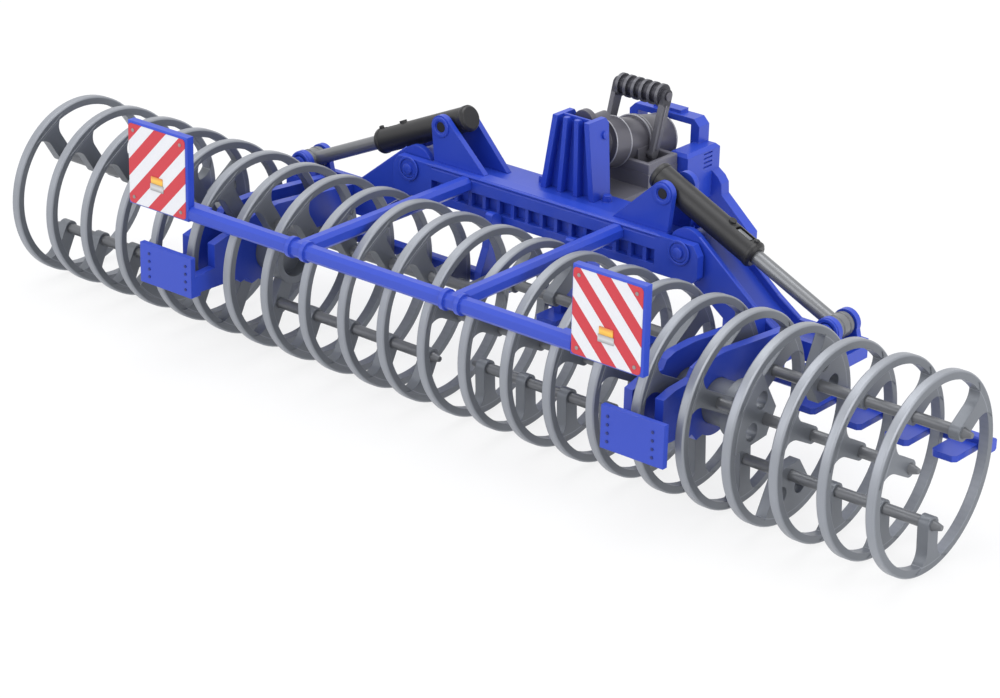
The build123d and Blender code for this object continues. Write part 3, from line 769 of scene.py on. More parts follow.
@dataclass
class Finishes:
    """All finishes of the toy, built once.

    Attributes:
        axle: Place of the rollers' axle along Y and Z in metres.
        ring_radius: Outer radius of a ring in metres.
        grip: Place of the axis of the handle's grip along Y and Z in metres.
        ring_band: Thickness of a ring's band in metres.
        shaded: Linear colour of a ring's flanks.
        lit: Linear colour of a ring's tread and bore.
        grip_reach: Radius at the end of the handle's colour scale, in metres.
        grip_bands: Radius and linear colour on the handle: grooves dark as painted shade, ribs and legs paler.
        blue: Blue plastic of frame, beam, arms, carriers, scrapers and headstock.
        recess: Darker blue of the studs on the front plates, painted shade of the plates' recesses.
        ring: Grey plastic of the rings.
        rod: Grey plastic of the rollers' rods and the bands round the rod eyes, where its darker grey paints the
            shade of the eyes' grooves.
        drum: Dark grey plastic of the drum and the handle's trim.
        barrel: Black plastic of the cylinder barrels.
        block: Dark grey plastic of the coupling block.
        handle: Dark grey plastic of the handle.
        bright: Pale grey of the drum's hoops, a painted highlight on the drum's steps.
        piston: Smooth grey of the cylinder rods.
        screw: Grey of the screws on the boards.
    """

    axle: Pair
    ring_radius: float
    grip: Pair
    ring_band: float = 1.9 * MM
    shaded: Colour = (0.168, 0.18, 0.2)
    lit: Colour = (0.29, 0.305, 0.335)
    grip_reach: float = 4.0 * MM
    # painted shade: the dark steps below the ribs darken the grip's grooves
    grip_bands: tuple[tuple[float, Colour], ...] = (
        (2.2 * MM, (0.045, 0.045, 0.056)),
        (2.6 * MM, (0.06, 0.06, 0.072)),
        (2.69 * MM, (0.125, 0.125, 0.14)),
        (2.9 * MM, (0.125, 0.124, 0.14)),
    )
    blue: bpy.types.Material = field(init=False)
    recess: bpy.types.Material = field(init=False)
    ring: bpy.types.Material = field(init=False)
    rod: bpy.types.Material = field(init=False)
    drum: bpy.types.Material = field(init=False)
    barrel: bpy.types.Material = field(init=False)
    block: bpy.types.Material = field(init=False)
    handle: bpy.types.Material = field(init=False)
    bright: bpy.types.Material = field(init=False)
    piston: bpy.types.Material = field(init=False)
    screw: bpy.types.Material = field(init=False)

    def ring_bands(self) -> tuple[tuple[float, Colour], ...]:
        """Gives the colours of a ring by radius: flanks shaded, bore and tread lit.

        Returns:
            Radius in metres and linear colour of each step.
        """
        outer = self.ring_radius
        bore = outer - self.ring_band
        return (
            (bore - 0.15 * MM, self.shaded),
            (bore - 0.08 * MM, self.lit),
            (bore + 0.02 * MM, self.lit),
            (bore + 0.05 * MM, self.shaded),
            (outer - 0.5 * MM, self.shaded),
            (outer - 0.1 * MM, self.lit),
        )

    def __post_init__(self) -> None:
        """Builds the node materials."""
        ring_reach = self.ring_radius + MM
        self.ring = TurnedPlastic("ring_grey", self.axle, ring_reach, self.ring_bands()).build()
        # the handle's bands paint shade into the grip's grooves
        self.handle = TurnedPlastic("handle_grey", self.grip, self.grip_reach, self.grip_bands).build()
        self.blue = MouldedPlastic("royal_blue", (0.018, 0.053, 0.44), (0.3, 0.42), flow=0.06).build()
        # painted shade: darker blue for the studs where the front plates have recesses
        self.recess = MouldedPlastic("blue_shade", (0.008, 0.018, 0.16), (0.4, 0.5), flow=0.06).build()
        self.barrel = MouldedPlastic("barrel_black", (0.012, 0.012, 0.0135), (0.34, 0.46), flow=0.1).build()
        self.rod = MouldedPlastic(
            "rod_grey", (0.15, 0.155, 0.165), (0.3, 0.42), flow=0.12, metal=0.45
        ).build()
        self.drum = MouldedPlastic(
            "drum_grey", (0.118, 0.115, 0.135), (0.28, 0.42), flow=0.12, metal=0.5
        ).build()
        self.block = MouldedPlastic(
            "block_grey", (0.128, 0.126, 0.15), (0.34, 0.46), flow=0.12, metal=0.2
        ).build()
        # painted highlight: the pale grey of the drum's hoops stands for the highlight on the drum's steps
        self.bright = MouldedPlastic(
            "rubbed_grey", (0.33, 0.33, 0.36), (0.26, 0.36), flow=0.1, metal=0.6
        ).build()
        self.piston = MouldedPlastic(
            "piston_grey", (0.2, 0.205, 0.215), (0.27, 0.32), flow=0.04, metal=0.6, grain=0.0
        ).build()
        self.screw = MouldedPlastic(
            "screw_print", (0.3, 0.25, 0.24), (0.3, 0.4), flow=0.2, metal=0.3
        ).build()


def dress(node: str, finish: bpy.types.Material) -> None:
    """Gives a carried-over node its finish.

    Args:
        node: Name of the node.
        finish: Material for all its faces.
    """
    for slot in frame["nodes"][node].material_slots:
        slot.material = finish
    LOG.info("%s dressed in %s", node, finish.name)


def place(piece: bpy.types.Object, body: str, finish: bpy.types.Material) -> None:
    """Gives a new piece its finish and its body.

    Args:
        piece: The new object.
        body: Body that it moves with.
        finish: Its material.
    """
    piece.data.materials.clear()
    piece.data.materials.append(finish)
    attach(piece, body)
    LOG.info("%s rides on %s", piece.name, body)


@dataclass
class RingRollers:
    """The two rollers: rings, hubs and the rods that carry them.

    Attributes:
        finishes: All finishes of the toy.
    """

    finishes: Finishes

    def build(self) -> None:
        """Dresses the rings and rods of both rollers."""
        for side in Side:
            dress(f"{side.word}_rings", self.finishes.ring)
            dress(f"{side.word}_ring_rods", self.finishes.rod)


@dataclass
class WarningBoards:
    """The two boards at the ends of the guard tube.

    Attributes:
        finishes: All finishes of the toy.
        width: Width of a board.
        margin: Blue edge left free round the print.
        film: How far the print stands proud.
        sink: How far print and lamp reach into what carries them.
        corner: Radius of the print's corners.
        corner_steps: How many steps a corner's rounding has.
        screw_inset: Distance of a screw from the print's edges.
        screw_radius: Radius of a screw head.
        screw_height: Height of a screw head.
        lamp_width: Width of the small lamp's housing.
        lens_share: Width of the lens as a share of the housing's.
        lamp_height: Height of either half of the lamp.
        lamp_depth: How far the lamp stands proud of the print.
        lamp_edge: Rounding of the lamp's edges.
        lamp_drop: How far down the print the lamp sits, 0 to 1.
    """

    finishes: Finishes
    width: float = 18.6 * MM
    margin: float = 0.45 * MM
    film: float = 0.12 * MM
    sink: float = 0.05 * MM
    corner: float = 0.9 * MM
    corner_steps: int = 5
    screw_inset: float = 1.5 * MM
    screw_radius: float = 0.42 * MM
    screw_height: float = 0.12 * MM
    lamp_width: float = 4.1 * MM
    lens_share: float = 0.88
    lamp_height: float = 1.7 * MM
    lamp_depth: float = 0.22 * MM
    lamp_edge: float = 0.12 * MM
    lamp_drop: float = 0.67

    def span(self, side: Side) -> tuple[Vector, Vector]:
        """Box of one print.

        Args:
            side: Which board.

        Returns:
            Lowest and highest corner of the print's face.
        """
        low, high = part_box("warning_boards")
        x0, x1 = high.x - self.width + self.margin, high.x - self.margin
        if side is Side.LEFT:
            x0, x1 = -x1, -x0
        z0, z1 = low.z + self.margin, high.z - self.margin
        return Vector((x0, low.y, z0)), Vector((x1, low.y, z1))

    def print_film(self, side: Side) -> bpy.types.Object:
        """Models the thin printed film of one board.

        Args:
            side: Which board.

        Returns:
            The film with rounded corners.
        """
        low, high = self.span(side)
        front, back = Vector((0, self.film, 0)), Vector((0, self.sink, 0))
        film = block(f"{side.word}_board_print", low - front, high + back)
        select(film, Element.EDGE, lambda edge: edge.calc_length() < self.margin)
        bpy.ops.mesh.bevel(offset=self.corner, segments=self.corner_steps)
        return settle(film)

    def lamp(self, side: Side, part: LampPart) -> bpy.types.Object:
        """Models one half of the small lamp: lens above, housing below.

        Args:
            side: Which board.
            part: Which half.

        Returns:
            The half as a softened block.
        """
        low, high = self.span(side)
        x = (low.x + high.x) / 2
        z = high.z - (high.z - low.z) * self.lamp_drop
        front = low.y - self.film
        half, z0, z1 = self.lamp_width / 2, z - self.lamp_height, z
        if part is LampPart.LENS:
            half, z0, z1 = half * self.lens_share, z, z + self.lamp_height
        piece = block(
            f"{side.word}_lamp_{part.name.lower()}",
            Vector((x - half, front - self.lamp_depth, z0)),
            Vector((x + half, front + self.sink, z1)),
        )
        soften(piece, self.lamp_edge)
        return settle(piece)

    def screws(self, side: Side) -> bpy.types.Object:
        """Models the four screw heads of one board.

        Args:
            side: Which board.

        Returns:
            The heads as one object.
        """
        low, high = self.span(side)
        inset, front = self.screw_inset, low.y - self.film
        columns, rows = (low.x + inset, high.x - inset), (low.z + inset, high.z - inset)
        places = [Vector((x, front, z)) for x in columns for z in rows]
        return studs(f"{side.word}_board_screws", places, FRONT, self.screw_radius, self.screw_height)

    def build(self) -> None:
        """Models and places the prints, lamps and screws."""
        dress("warning_boards", self.finishes.blue)
        for side in Side:
            low, high = self.span(side)
            centre = ((low.x + high.x) / 2, (low.z + high.z) / 2)
            size = (high.x - low.x, high.z - low.z)
            stripes = StripedPrint(f"{side.word}_stripes", side, centre, size).build()
            place(self.print_film(side), "frame", stripes)
            for part in LampPart:
                piece = self.lamp(side, part)
                heights = [Vector(corner).z for corner in piece.bound_box]
                fade = FadedPrint(f"{piece.name}_print", (min(heights), max(heights)), part.value)
                place(piece, "frame", fade.build())
            place(self.screws(side), "frame", self.finishes.screw)


@dataclass
class WingSections:
    """The two folding wings: arm, carrier with its front plate, and scraper.

    Attributes:
        finishes: All finishes of the toy.
        stud_radius: Radius of a stud on a front plate.
        stud_height: Height of a stud.
        stud_pitch: Distance between the rows of studs.
        stud_rows: How many rows there are.
        first_row: Distance of the first row from the carrier's top.
        inner_inset: Distance of the inner column from the plate's inner edge.
        outer_inset: Distance of the outer column from the plate's outer edge.
        bead_radius: Radius of the beads on an arm's upper edges.
        bead_start: Start of a bead outwards and upwards of the hinge.
        bead_knee: Knee of a bead inwards of the eye and above the eye's seat.
        bead_end: End of a bead inwards and downwards of the eye, at the eye's seat.
        bead_insets: Place of the front and back bead behind and before the arm's faces.
        cap_reach: Distance from the middle of an eye to the face of its front lug.
        cap_radius: Radius of the cap on an eye's pin.
        cap_height: Height of the cap.
        collar_sink: How far the collar round the cap sits behind the cap's foot.
        collar_out: How far the collar reaches past the eye.
        collar_gap: Gap between cap and collar.
        collar_depth: Length of the collar.
    """

    finishes: Finishes
    stud_radius: float = 0.35 * MM
    stud_height: float = 0.14 * MM
    stud_pitch: float = 1.9 * MM
    stud_rows: int = 4
    first_row: float = 7.65 * MM
    inner_inset: float = 1.8 * MM
    outer_inset: float = 2.9 * MM
    bead_radius: float = 0.32 * MM
    bead_start: Pair = (3.3 * MM, 3.5 * MM)
    bead_knee: Pair = (19.1 * MM, 4.0 * MM)
    bead_end: Pair = (13.2 * MM, 3.5 * MM)
    bead_insets: Pair = (0.3 * MM, 1.3 * MM)
    cap_reach: float = 4.6 * MM
    cap_radius: float = 1.9 * MM
    cap_height: float = 0.45 * MM
    collar_sink: float = 0.2 * MM
    collar_out: float = 0.3 * MM
    collar_gap: float = 0.25 * MM
    collar_depth: float = 0.6 * MM

    def plate_studs(self, side: Side) -> bpy.types.Object:
        """Models the two columns of studs on a front plate.

        Args:
            side: Which wing.

        Returns:
            The studs as one object.
        """
        low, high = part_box(f"{side.word}_carrier")
        rows = [high.z - self.first_row - self.stud_pitch * i for i in range(self.stud_rows)]
        columns = [low.x + self.inner_inset, high.x - self.outer_inset]
        if side is Side.LEFT:
            columns = [low.x + self.outer_inset, high.x - self.inner_inset]
        places = [Vector((x, low.y, z)) for x in columns for z in rows]
        return studs(f"{side.word}_plate_studs", places, FRONT, self.stud_radius, self.stud_height)

    def arm_beads(self, side: Side) -> bpy.types.Object:
        """Models the beads along the upper edges of an arm's two cheeks.

        Args:
            side: Which wing.

        Returns:
            Both beads as one object.
        """
        low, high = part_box(f"{side.word}_wing_arm")
        hinge, eye = joint_place(f"{side.word}_fold"), rod_eye(side)
        seat = eye.z - self.bead_end[1]
        corners = [
            (hinge.x + side.value * self.bead_start[0], hinge.z + self.bead_start[1]),
            (eye.x - side.value * self.bead_knee[0], seat + self.bead_knee[1]),
            (eye.x - side.value * self.bead_end[0], seat),
        ]
        beads = []
        for y in (low.y + self.bead_insets[0], high.y - self.bead_insets[1]):
            points = [Vector((x, y, z)) for x, z in corners]
            beads.append(bead(f"{side.word}_arm_bead", points, self.bead_radius))
        return merge(f"{side.word}_arm_beads", beads)

    def eye_caps(self, side: Side) -> bpy.types.Object:
        """Models the cap and collar on the front of an eye's pin.

        Args:
            side: Which wing.

        Returns:
            The cap as one object.
        """
        name = f"{side.word}_eye_cap"
        foot = rod_eye(side) + FRONT * self.cap_reach
        outer, inner = ROD_EYE_RADIUS + self.collar_out, self.cap_radius + self.collar_gap
        cap = studs(name, [foot], FRONT, self.cap_radius, self.cap_height)
        seat = foot - FRONT * self.collar_sink
        return merge(name, [cap, band(name, seat, FRONT, outer, inner, self.collar_depth)])

    def build(self) -> None:
        """Dresses the wings and adds their studs, beads and caps."""
        for side in Side:
            for node in ("wing_arm", "carrier", "scraper"):
                dress(f"{side.word}_{node}", self.finishes.blue)
            wing = f"{side.word}_wing"
            # the studs' darker blue is painted shade
            place(self.plate_studs(side), wing, self.finishes.recess)
            place(self.arm_beads(side), wing, self.finishes.blue)
            place(self.eye_caps(side), wing, self.finishes.blue)


@dataclass
class BeamAndTower:
    """Main beam, lugs, ribbed tower, guard frame and headstock.

    Attributes:
        finishes: All finishes of the toy.
        pin_head: Radius and height of the head of a wing's hinge pin.
        pin_ring: Outer and inner radius of the ring round that head.
        pin_ring_depth: Length of that ring.
        lug_ring: Outer and inner radius of the ring round a trunnion.
        lug_ring_depth: Length of that ring.
        lug_ring_out: Distance of its middle from the lug's face.
        bolt: Radius and height of the bolt on a cheek of the tower.
        bolt_drop: Distance of the bolt below the tower's top.
        bolt_inset: Distance of the bolt before the tower's back.
        cheek_half: Half the tower's width at the top.
        cheek_lean: Lean of a cheek in radians.
        dome: Radius and height of the domes on the deck's bosses.
        dome_out: Distance of a dome beyond the tower's foot.
        dome_back: Distance of a dome behind the tower's front.
        dome_rise: Height of a boss above the tower's foot.
        rail_radius: Radius of the bead on the beam's top rail.
        rail_short: Distance of the bead's end from the wing's hinge.
        rail_inset: Distance of the bead behind the beam's front and below its top.
        nut: Radius and height of a nut on a block of the headstock.
        nut_places: Distance of the two nuts of a block from the middle plane.
        nut_back: Distance of the nuts behind the headstock's front.
        nut_rise: Height of the nuts above the coupling block's foot.
        link_reach: Outer radius of the rings round the link holes.
        link_gap: Gap between a link hole and its ring.
        link_ring_depth: Length of such a ring.
    """

    finishes: Finishes
    pin_head: Pair = (1.25 * MM, 0.5 * MM)
    pin_ring: Pair = (2.9 * MM, 2.3 * MM)
    pin_ring_depth: float = 0.35 * MM
    lug_ring: Pair = (2.45 * MM, 1.5 * MM)
    lug_ring_depth: float = 0.5 * MM
    lug_ring_out: float = 0.1 * MM
    bolt: Pair = (0.95 * MM, 0.4 * MM)
    bolt_drop: float = 3.8 * MM
    bolt_inset: float = 1.9 * MM
    cheek_half: float = 5.2 * MM
    cheek_lean: float = math.atan2(2.5, 18.0)
    dome: Pair = (1.0 * MM, 0.3 * MM)
    dome_out: float = 1.6 * MM
    dome_back: float = 3.0 * MM
    dome_rise: float = 1.1 * MM
    rail_radius: float = 0.28 * MM
    rail_short: float = 5.4 * MM
    rail_inset: Pair = (0.55 * MM, 0.15 * MM)
    nut: Pair = (0.75 * MM, 0.5 * MM)
    nut_places: Pair = (9.6 * MM, 12.1 * MM)
    nut_back: float = 4.0 * MM
    nut_rise: float = 2.6 * MM
    link_reach: float = 2.4 * MM
    link_gap: float = 0.1 * MM
    link_ring_depth: float = 0.5 * MM

    def hinge_heads(self) -> bpy.types.Object:
        """Models the stepped heads of the two hinge pins, at the front.

        Returns:
            Heads and rings as one object.
        """
        heads = []
        for side in Side:
            face = joint_place(f"{side.word}_fold")
            face.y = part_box("main_beam")[0].y
            heads.append(band("hinge_ring", face, FRONT, *self.pin_ring, self.pin_ring_depth))
            heads.append(studs("pin_head", [face], FRONT, *self.pin_head))
        return merge("hinge_heads", heads)

    def trunnion_rings(self) -> bpy.types.Object:
        """Models the raised rings round the trunnions on the lugs.

        Returns:
            The four rings as one object.
        """
        low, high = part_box("cylinder_lugs")
        rings = []
        for side in Side:
            centre = joint_place(f"{side.word}_barrel_swing")
            for y in (low.y - self.lug_ring_out, high.y + self.lug_ring_out):
                centre.y = y
                rings.append(band("lug_ring", centre, FRONT, *self.lug_ring, self.lug_ring_depth))
        return merge("trunnion_rings", rings)

    def tower_bolts(self) -> bpy.types.Object:
        """Models the bolt on each leaning cheek of the tower.

        Returns:
            Both bolts as one object.
        """
        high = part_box("tower")[1]
        lean = self.cheek_lean
        x = self.cheek_half + self.bolt_drop * math.tan(lean)
        bolts = []
        for side in Side:
            out = Vector((side.value * math.cos(lean), 0, math.sin(lean)))
            spot = Vector((side.value * x, high.y - self.bolt_inset, high.z - self.bolt_drop))
            bolts.append(studs("tower_bolt", [spot], out, *self.bolt))
        return merge("tower_bolts", bolts)

    def deck_domes(self) -> bpy.types.Object:
        """Models the domes on the two bosses beside the tower's foot.

        Returns:
            Both domes as one object.
        """
        low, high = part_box("tower")
        x, y, z = high.x + self.dome_out, low.y + self.dome_back, low.z + self.dome_rise
        places = [Vector((side.value * x, y, z)) for side in Side]
        return studs("deck_domes", places, Axis.Z.vector, *self.dome)

    def rail_bead(self) -> bpy.types.Object:
        """Models the bead along the front edge of the beam's top rail.

        Returns:
            The bead.
        """
        low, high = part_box("main_beam")
        reach = joint_place("right_fold").x - self.rail_short
        y, z = low.y + self.rail_inset[0], high.z - self.rail_inset[1]
        return bead("rail_bead", [Vector((-reach, y, z)), Vector((reach, y, z))], self.rail_radius)

    def head_nuts(self) -> bpy.types.Object:
        """Models the pair of nuts on the front of each block of the headstock.

        Returns:
            The four nuts as one object.
        """
        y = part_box("headstock")[0].y + self.nut_back
        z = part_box("coupling_block")[0].z + self.nut_rise
        places = [Vector((side.value * x, y, z)) for side in Side for x in self.nut_places]
        return studs("head_nuts", places, FRONT, *self.nut)

    def link_rings(self) -> bpy.types.Object:
        """Models the raised rings round the two link holes, inside and outside.

        Returns:
            The four rings as one object.
        """
        rings = []
        for mount in frame["record"]["mounts"]:
            half = mount["dims"]["length_mm"] / 2 * MM
            inner = mount["dims"]["r_mm"] * MM + self.link_gap
            for shift in (-half, half):
                spot = Vector(mount["pos_m"]) + Axis.X.vector * shift
                depth = self.link_ring_depth
                rings.append(band("link_ring", spot, Axis.X.vector, self.link_reach, inner, depth))
        return merge("link_rings", rings)

    def build(self) -> None:
        """Dresses the blue pieces of the middle and adds their small forms."""
        for node in ("main_beam", "cylinder_lugs", "tower", "guard_frame", "headstock"):
            dress(node, self.finishes.blue)
        for piece in (
            self.hinge_heads(),
            self.trunnion_rings(),
            self.tower_bolts(),
            self.deck_domes(),
            self.rail_bead(),
            self.head_nuts(),
            self.link_rings(),
        ):
            place(piece, "frame", self.finishes.blue)


@dataclass
class Coupling:
    """Drum with its block and swinging handle.

    Attributes:
        finishes: All finishes of the toy.
        rim_height: How far the block's rim rises above the block.
        rim_wall: Thickness of the rim.
        rim_length: Length of the rim from the block's back.
        rim_sink: How far the rim reaches into the block.
        rim_floor: What is left of the rim's floor above the block.
        rim_edge: Rounding of the rim's edges.
        tilt: Slope of the drum's axis in radians, higher at the front.
        drum_spot: A point of that axis, before the block's back and above its foot.
        hoops: Place along the axis and radius of each bright hoop on the drum, whose pale grey is a painted
            highlight.
        hoop_out: How far a hoop stands proud of the drum.
        hoop_sink: How far it reaches into the drum.
        hoop_width: Width of a hoop.
        grip_spot: Middle of the grip behind and above the handle's pivot.
        ridge_ends: Start and end of a leg's ridge, as shares of the leg.
        ridge_radius: Radius of the ridge.
        grip_cap: Radius and height of the cap at the grip's end.
    """

    finishes: Finishes
    rim_height: float = 2.2 * MM
    rim_wall: float = 1.4 * MM
    rim_length: float = 11.0 * MM
    rim_sink: float = 0.4 * MM
    rim_floor: float = 0.02 * MM
    rim_edge: float = 0.3 * MM
    tilt: float = math.radians(12.0)
    drum_spot: Pair = (3.0 * MM, 9.1 * MM)
    hoops: tuple[Pair, ...] = (
        (-14.3 * MM, 6.0 * MM),
        (-8.7 * MM, 6.0 * MM),
        (-1.1 * MM, 6.0 * MM),
        (-0.1 * MM, 6.0 * MM),
        (9.4 * MM, 5.8 * MM),
    )
    hoop_out: float = 0.13 * MM
    hoop_sink: float = 0.3 * MM
    hoop_width: float = 0.4 * MM
    grip_spot: Pair = (4.2 * MM, 13.1 * MM)
    ridge_ends: Pair = (0.08, 0.84)
    ridge_radius: float = 0.3 * MM
    grip_cap: Pair = (1.1 * MM, 0.3 * MM)

    def block_rim(self) -> bpy.types.Object:
        """Models the walls that rise round the drum's saddle.

        Returns:
            The rim.
        """
        low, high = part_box("coupling_block")
        rim = block(
            "block_rim",
            Vector((low.x, high.y - self.rim_length, high.z - self.rim_sink)),
            Vector((high.x, high.y, high.z + self.rim_height)),
        )
        select(rim, Element.FACE, lambda face: face.normal.z > SAME_WAY)
        bpy.ops.mesh.inset(thickness=self.rim_wall, depth=0.0)
        bpy.ops.mesh.extrude_region_move(
            TRANSFORM_OT_translate={"value": (0, 0, self.rim_floor - self.rim_height)}
        )
        soften(rim, self.rim_edge, 3)
        return settle(rim)

    def drum_hoops(self) -> bpy.types.Object:
        """Models the bright hoops at the steps of the drum, pale grey as a painted highlight.

        Returns:
            The hoops as one object.
        """
        low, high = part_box("coupling_block")
        start = Vector((0, high.y - self.drum_spot[0], low.z + self.drum_spot[1]))
        along = Vector((0, math.cos(self.tilt), -math.sin(self.tilt)))
        hoops = []
        for at, radius in self.hoops:
            outer, inner = radius + self.hoop_out, radius - self.hoop_sink
            hoops.append(band("drum_hoop", start + along * at, along, outer, inner, self.hoop_width))
        return merge("drum_hoops", hoops)

    def handle_trim(self) -> bpy.types.Object:
        """Models the ridge and the round pin caps on the outside of the handle's legs.

        Returns:
            Ridges and caps as one object.
        """
        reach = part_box("handle")[1].x
        pieces = []
        for side in Side:
            foot = joint_place("handle_swing")
            foot.x = side.value * reach
            top = foot + Vector((0, *self.grip_spot))
            ends = [foot.lerp(top, share) for share in self.ridge_ends]
            pieces.append(bead("leg_ridge", ends, self.ridge_radius))
            pieces.append(studs("grip_cap", [top], Axis.X.vector * side.value, *self.grip_cap))
        return merge("handle_trim", pieces)

    def build(self) -> None:
        """Dresses the grey pieces and adds rim, hoops and trim."""
        dress("coupling_block", self.finishes.block)
        dress("drum", self.finishes.drum)
        dress("handle", self.finishes.handle)
        place(self.block_rim(), "frame", self.finishes.block)
        # the hoops' pale grey is a painted highlight on the drum's steps
        place(self.drum_hoops(), "frame", self.finishes.bright)
        place(self.handle_trim(), "handle", self.finishes.drum)


@dataclass
class FoldCylinders:
    """Toy cylinders that fold the wings.

    Attributes:
        finishes: All finishes of the toy.
        radius: Radius of a barrel.
        lips: Places of the lips at a barrel's mouth and tail, from the trunnion.
        lip_out: How far a lip stands proud of the barrel.
        lip_sink: How far it reaches into the barrel.
        lip_width: Width of a lip.
        nib_at: Distance of the nib from the trunnion.
        nib: Radius and height of the nib.
        slot: Start and end of the slot near the mouth, from the trunnion.
        key_gap: Gap between the key and either end of the slot.
        key_half: Half the key's width and height.
        key_edge: Rounding of the key's edges.
        key_rise: Distance of the key's middle from the barrel's axis.
        band_shift: Distance of the bands round a rod's eye from its middle.
        band_out: How far a band stands proud of the eye.
        band_sink: How far it reaches into the eye.
        band_width: Width of a band.
    """

    finishes: Finishes
    radius: float = 3.0 * MM
    lips: Pair = (23.6 * MM, -4.6 * MM)
    lip_out: float = 0.14 * MM
    lip_sink: float = 0.35 * MM
    lip_width: float = 0.9 * MM
    nib_at: float = 23.2 * MM
    nib: Pair = (0.6 * MM, 0.45 * MM)
    slot: Pair = (17.6 * MM, 22.2 * MM)
    key_gap: float = 0.35 * MM
    key_half: Pair = (0.6 * MM, 0.4 * MM)
    key_edge: float = 0.15 * MM
    key_rise: float = 2.25 * MM
    band_shift: float = 1.2 * MM
    band_out: float = 0.12 * MM
    band_sink: float = 0.3 * MM
    band_width: float = 0.55 * MM

    def lines(self, side: Side) -> tuple[Vector, Vector, Vector]:
        """Gives the trunnion of a cylinder and its two main directions.

        Args:
            side: Which cylinder.

        Returns:
            Place of the trunnion, direction to the rod's eye, direction away from the arm.
        """
        along = -Vector(joint(f"{side.word}_rod_slide")["axis"]).normalized()
        up = along.cross(FRONT) * side.value * -1.0
        return joint_place(f"{side.word}_barrel_swing"), along, up

    def collars(self, side: Side) -> bpy.types.Object:
        """Models the lips at a barrel's mouth and tail, and the nib at the mouth.

        Args:
            side: Which cylinder.

        Returns:
            Lips and nib as one object.
        """
        start, along, up = self.lines(side)
        outer, inner = self.radius + self.lip_out, self.radius - self.lip_sink
        name = f"{side.word}_barrel_lips"
        lips = [band(name, start + along * at, along, outer, inner, self.lip_width) for at in self.lips]
        nib = studs(name, [start + along * self.nib_at + up * self.radius], up, *self.nib)
        return merge(name, lips + [nib])

    def slot_key(self, side: Side) -> bpy.types.Object:
        """Models the grey key that shows in a barrel's slot.

        Args:
            side: Which cylinder.

        Returns:
            The key.
        """
        start, along, up = self.lines(side)
        low, high = self.slot
        half = Vector(((high - low) / 2 - self.key_gap, *self.key_half))
        key = block(f"{side.word}_slot_key", -half, half)
        soften(key, self.key_edge)
        rows = Matrix((along, up.cross(along), up)).transposed()
        spot = start + along * (low + high) / 2 + up * self.key_rise
        key.data.transform(Matrix.Translation(spot) @ rows.to_4x4())
        return settle(key)

    def eye_bands(self, side: Side) -> bpy.types.Object:
        """Models the two thin bands round a rod's eye, in a darker grey that paints the shade of its grooves.

        Args:
            side: Which cylinder.

        Returns:
            Both bands as one object.
        """
        name = f"{side.word}_eye_bands"
        outer, inner = ROD_EYE_RADIUS + self.band_out, ROD_EYE_RADIUS - self.band_sink
        places = [rod_eye(side) + FRONT * shift for shift in (self.band_shift, -self.band_shift)]
        return merge(name, [band(name, spot, FRONT, outer, inner, self.band_width) for spot in places])

    def build(self) -> None:
        """Dresses barrels and rods and adds lips, nibs, keys and bands."""
        for side in Side:
            barrel = f"{side.word}_barrel"
            dress(barrel, self.finishes.barrel)
            dress(f"{side.word}_cylinder_rod", self.finishes.piston)
            place(self.collars(side), barrel, self.finishes.barrel)
            place(self.slot_key(side), barrel, self.finishes.piston)
            # the bands' darker grey is painted shade of the eye's grooves
            place(self.eye_bands(side), f"{side.word}_rod", self.finishes.rod)


@dataclass(frozen=True)
class SoftLamp:
    """A soft square lamp that faces the toy.

    Attributes:
        name: Name of the lamp.
        spot: Where it stands, in metres.
        size: Edge of the lamp in metres.
        power: Power in watts.
        aim: Point that it faces, in metres.
    """

    name: str
    spot: Triple
    size: float
    power: float
    aim: Triple = (0.0, 0.0, 0.03)

    def build(self) -> None:
        """Adds the lamp to the scene."""
        data = bpy.data.lights.new(self.name, "AREA")
        data.shape = "SQUARE"
        data.size = self.size
        data.energy = self.power
        lamp = bpy.data.objects.new(self.name, data)
        bpy.context.scene.collection.objects.link(lamp)
        spot = Vector(self.spot)
        turn = (Vector(self.aim) - spot).to_track_quat("-Z", "Y")
        lamp.matrix_world = Matrix.Translation(spot) @ turn.to_matrix().to_4x4()


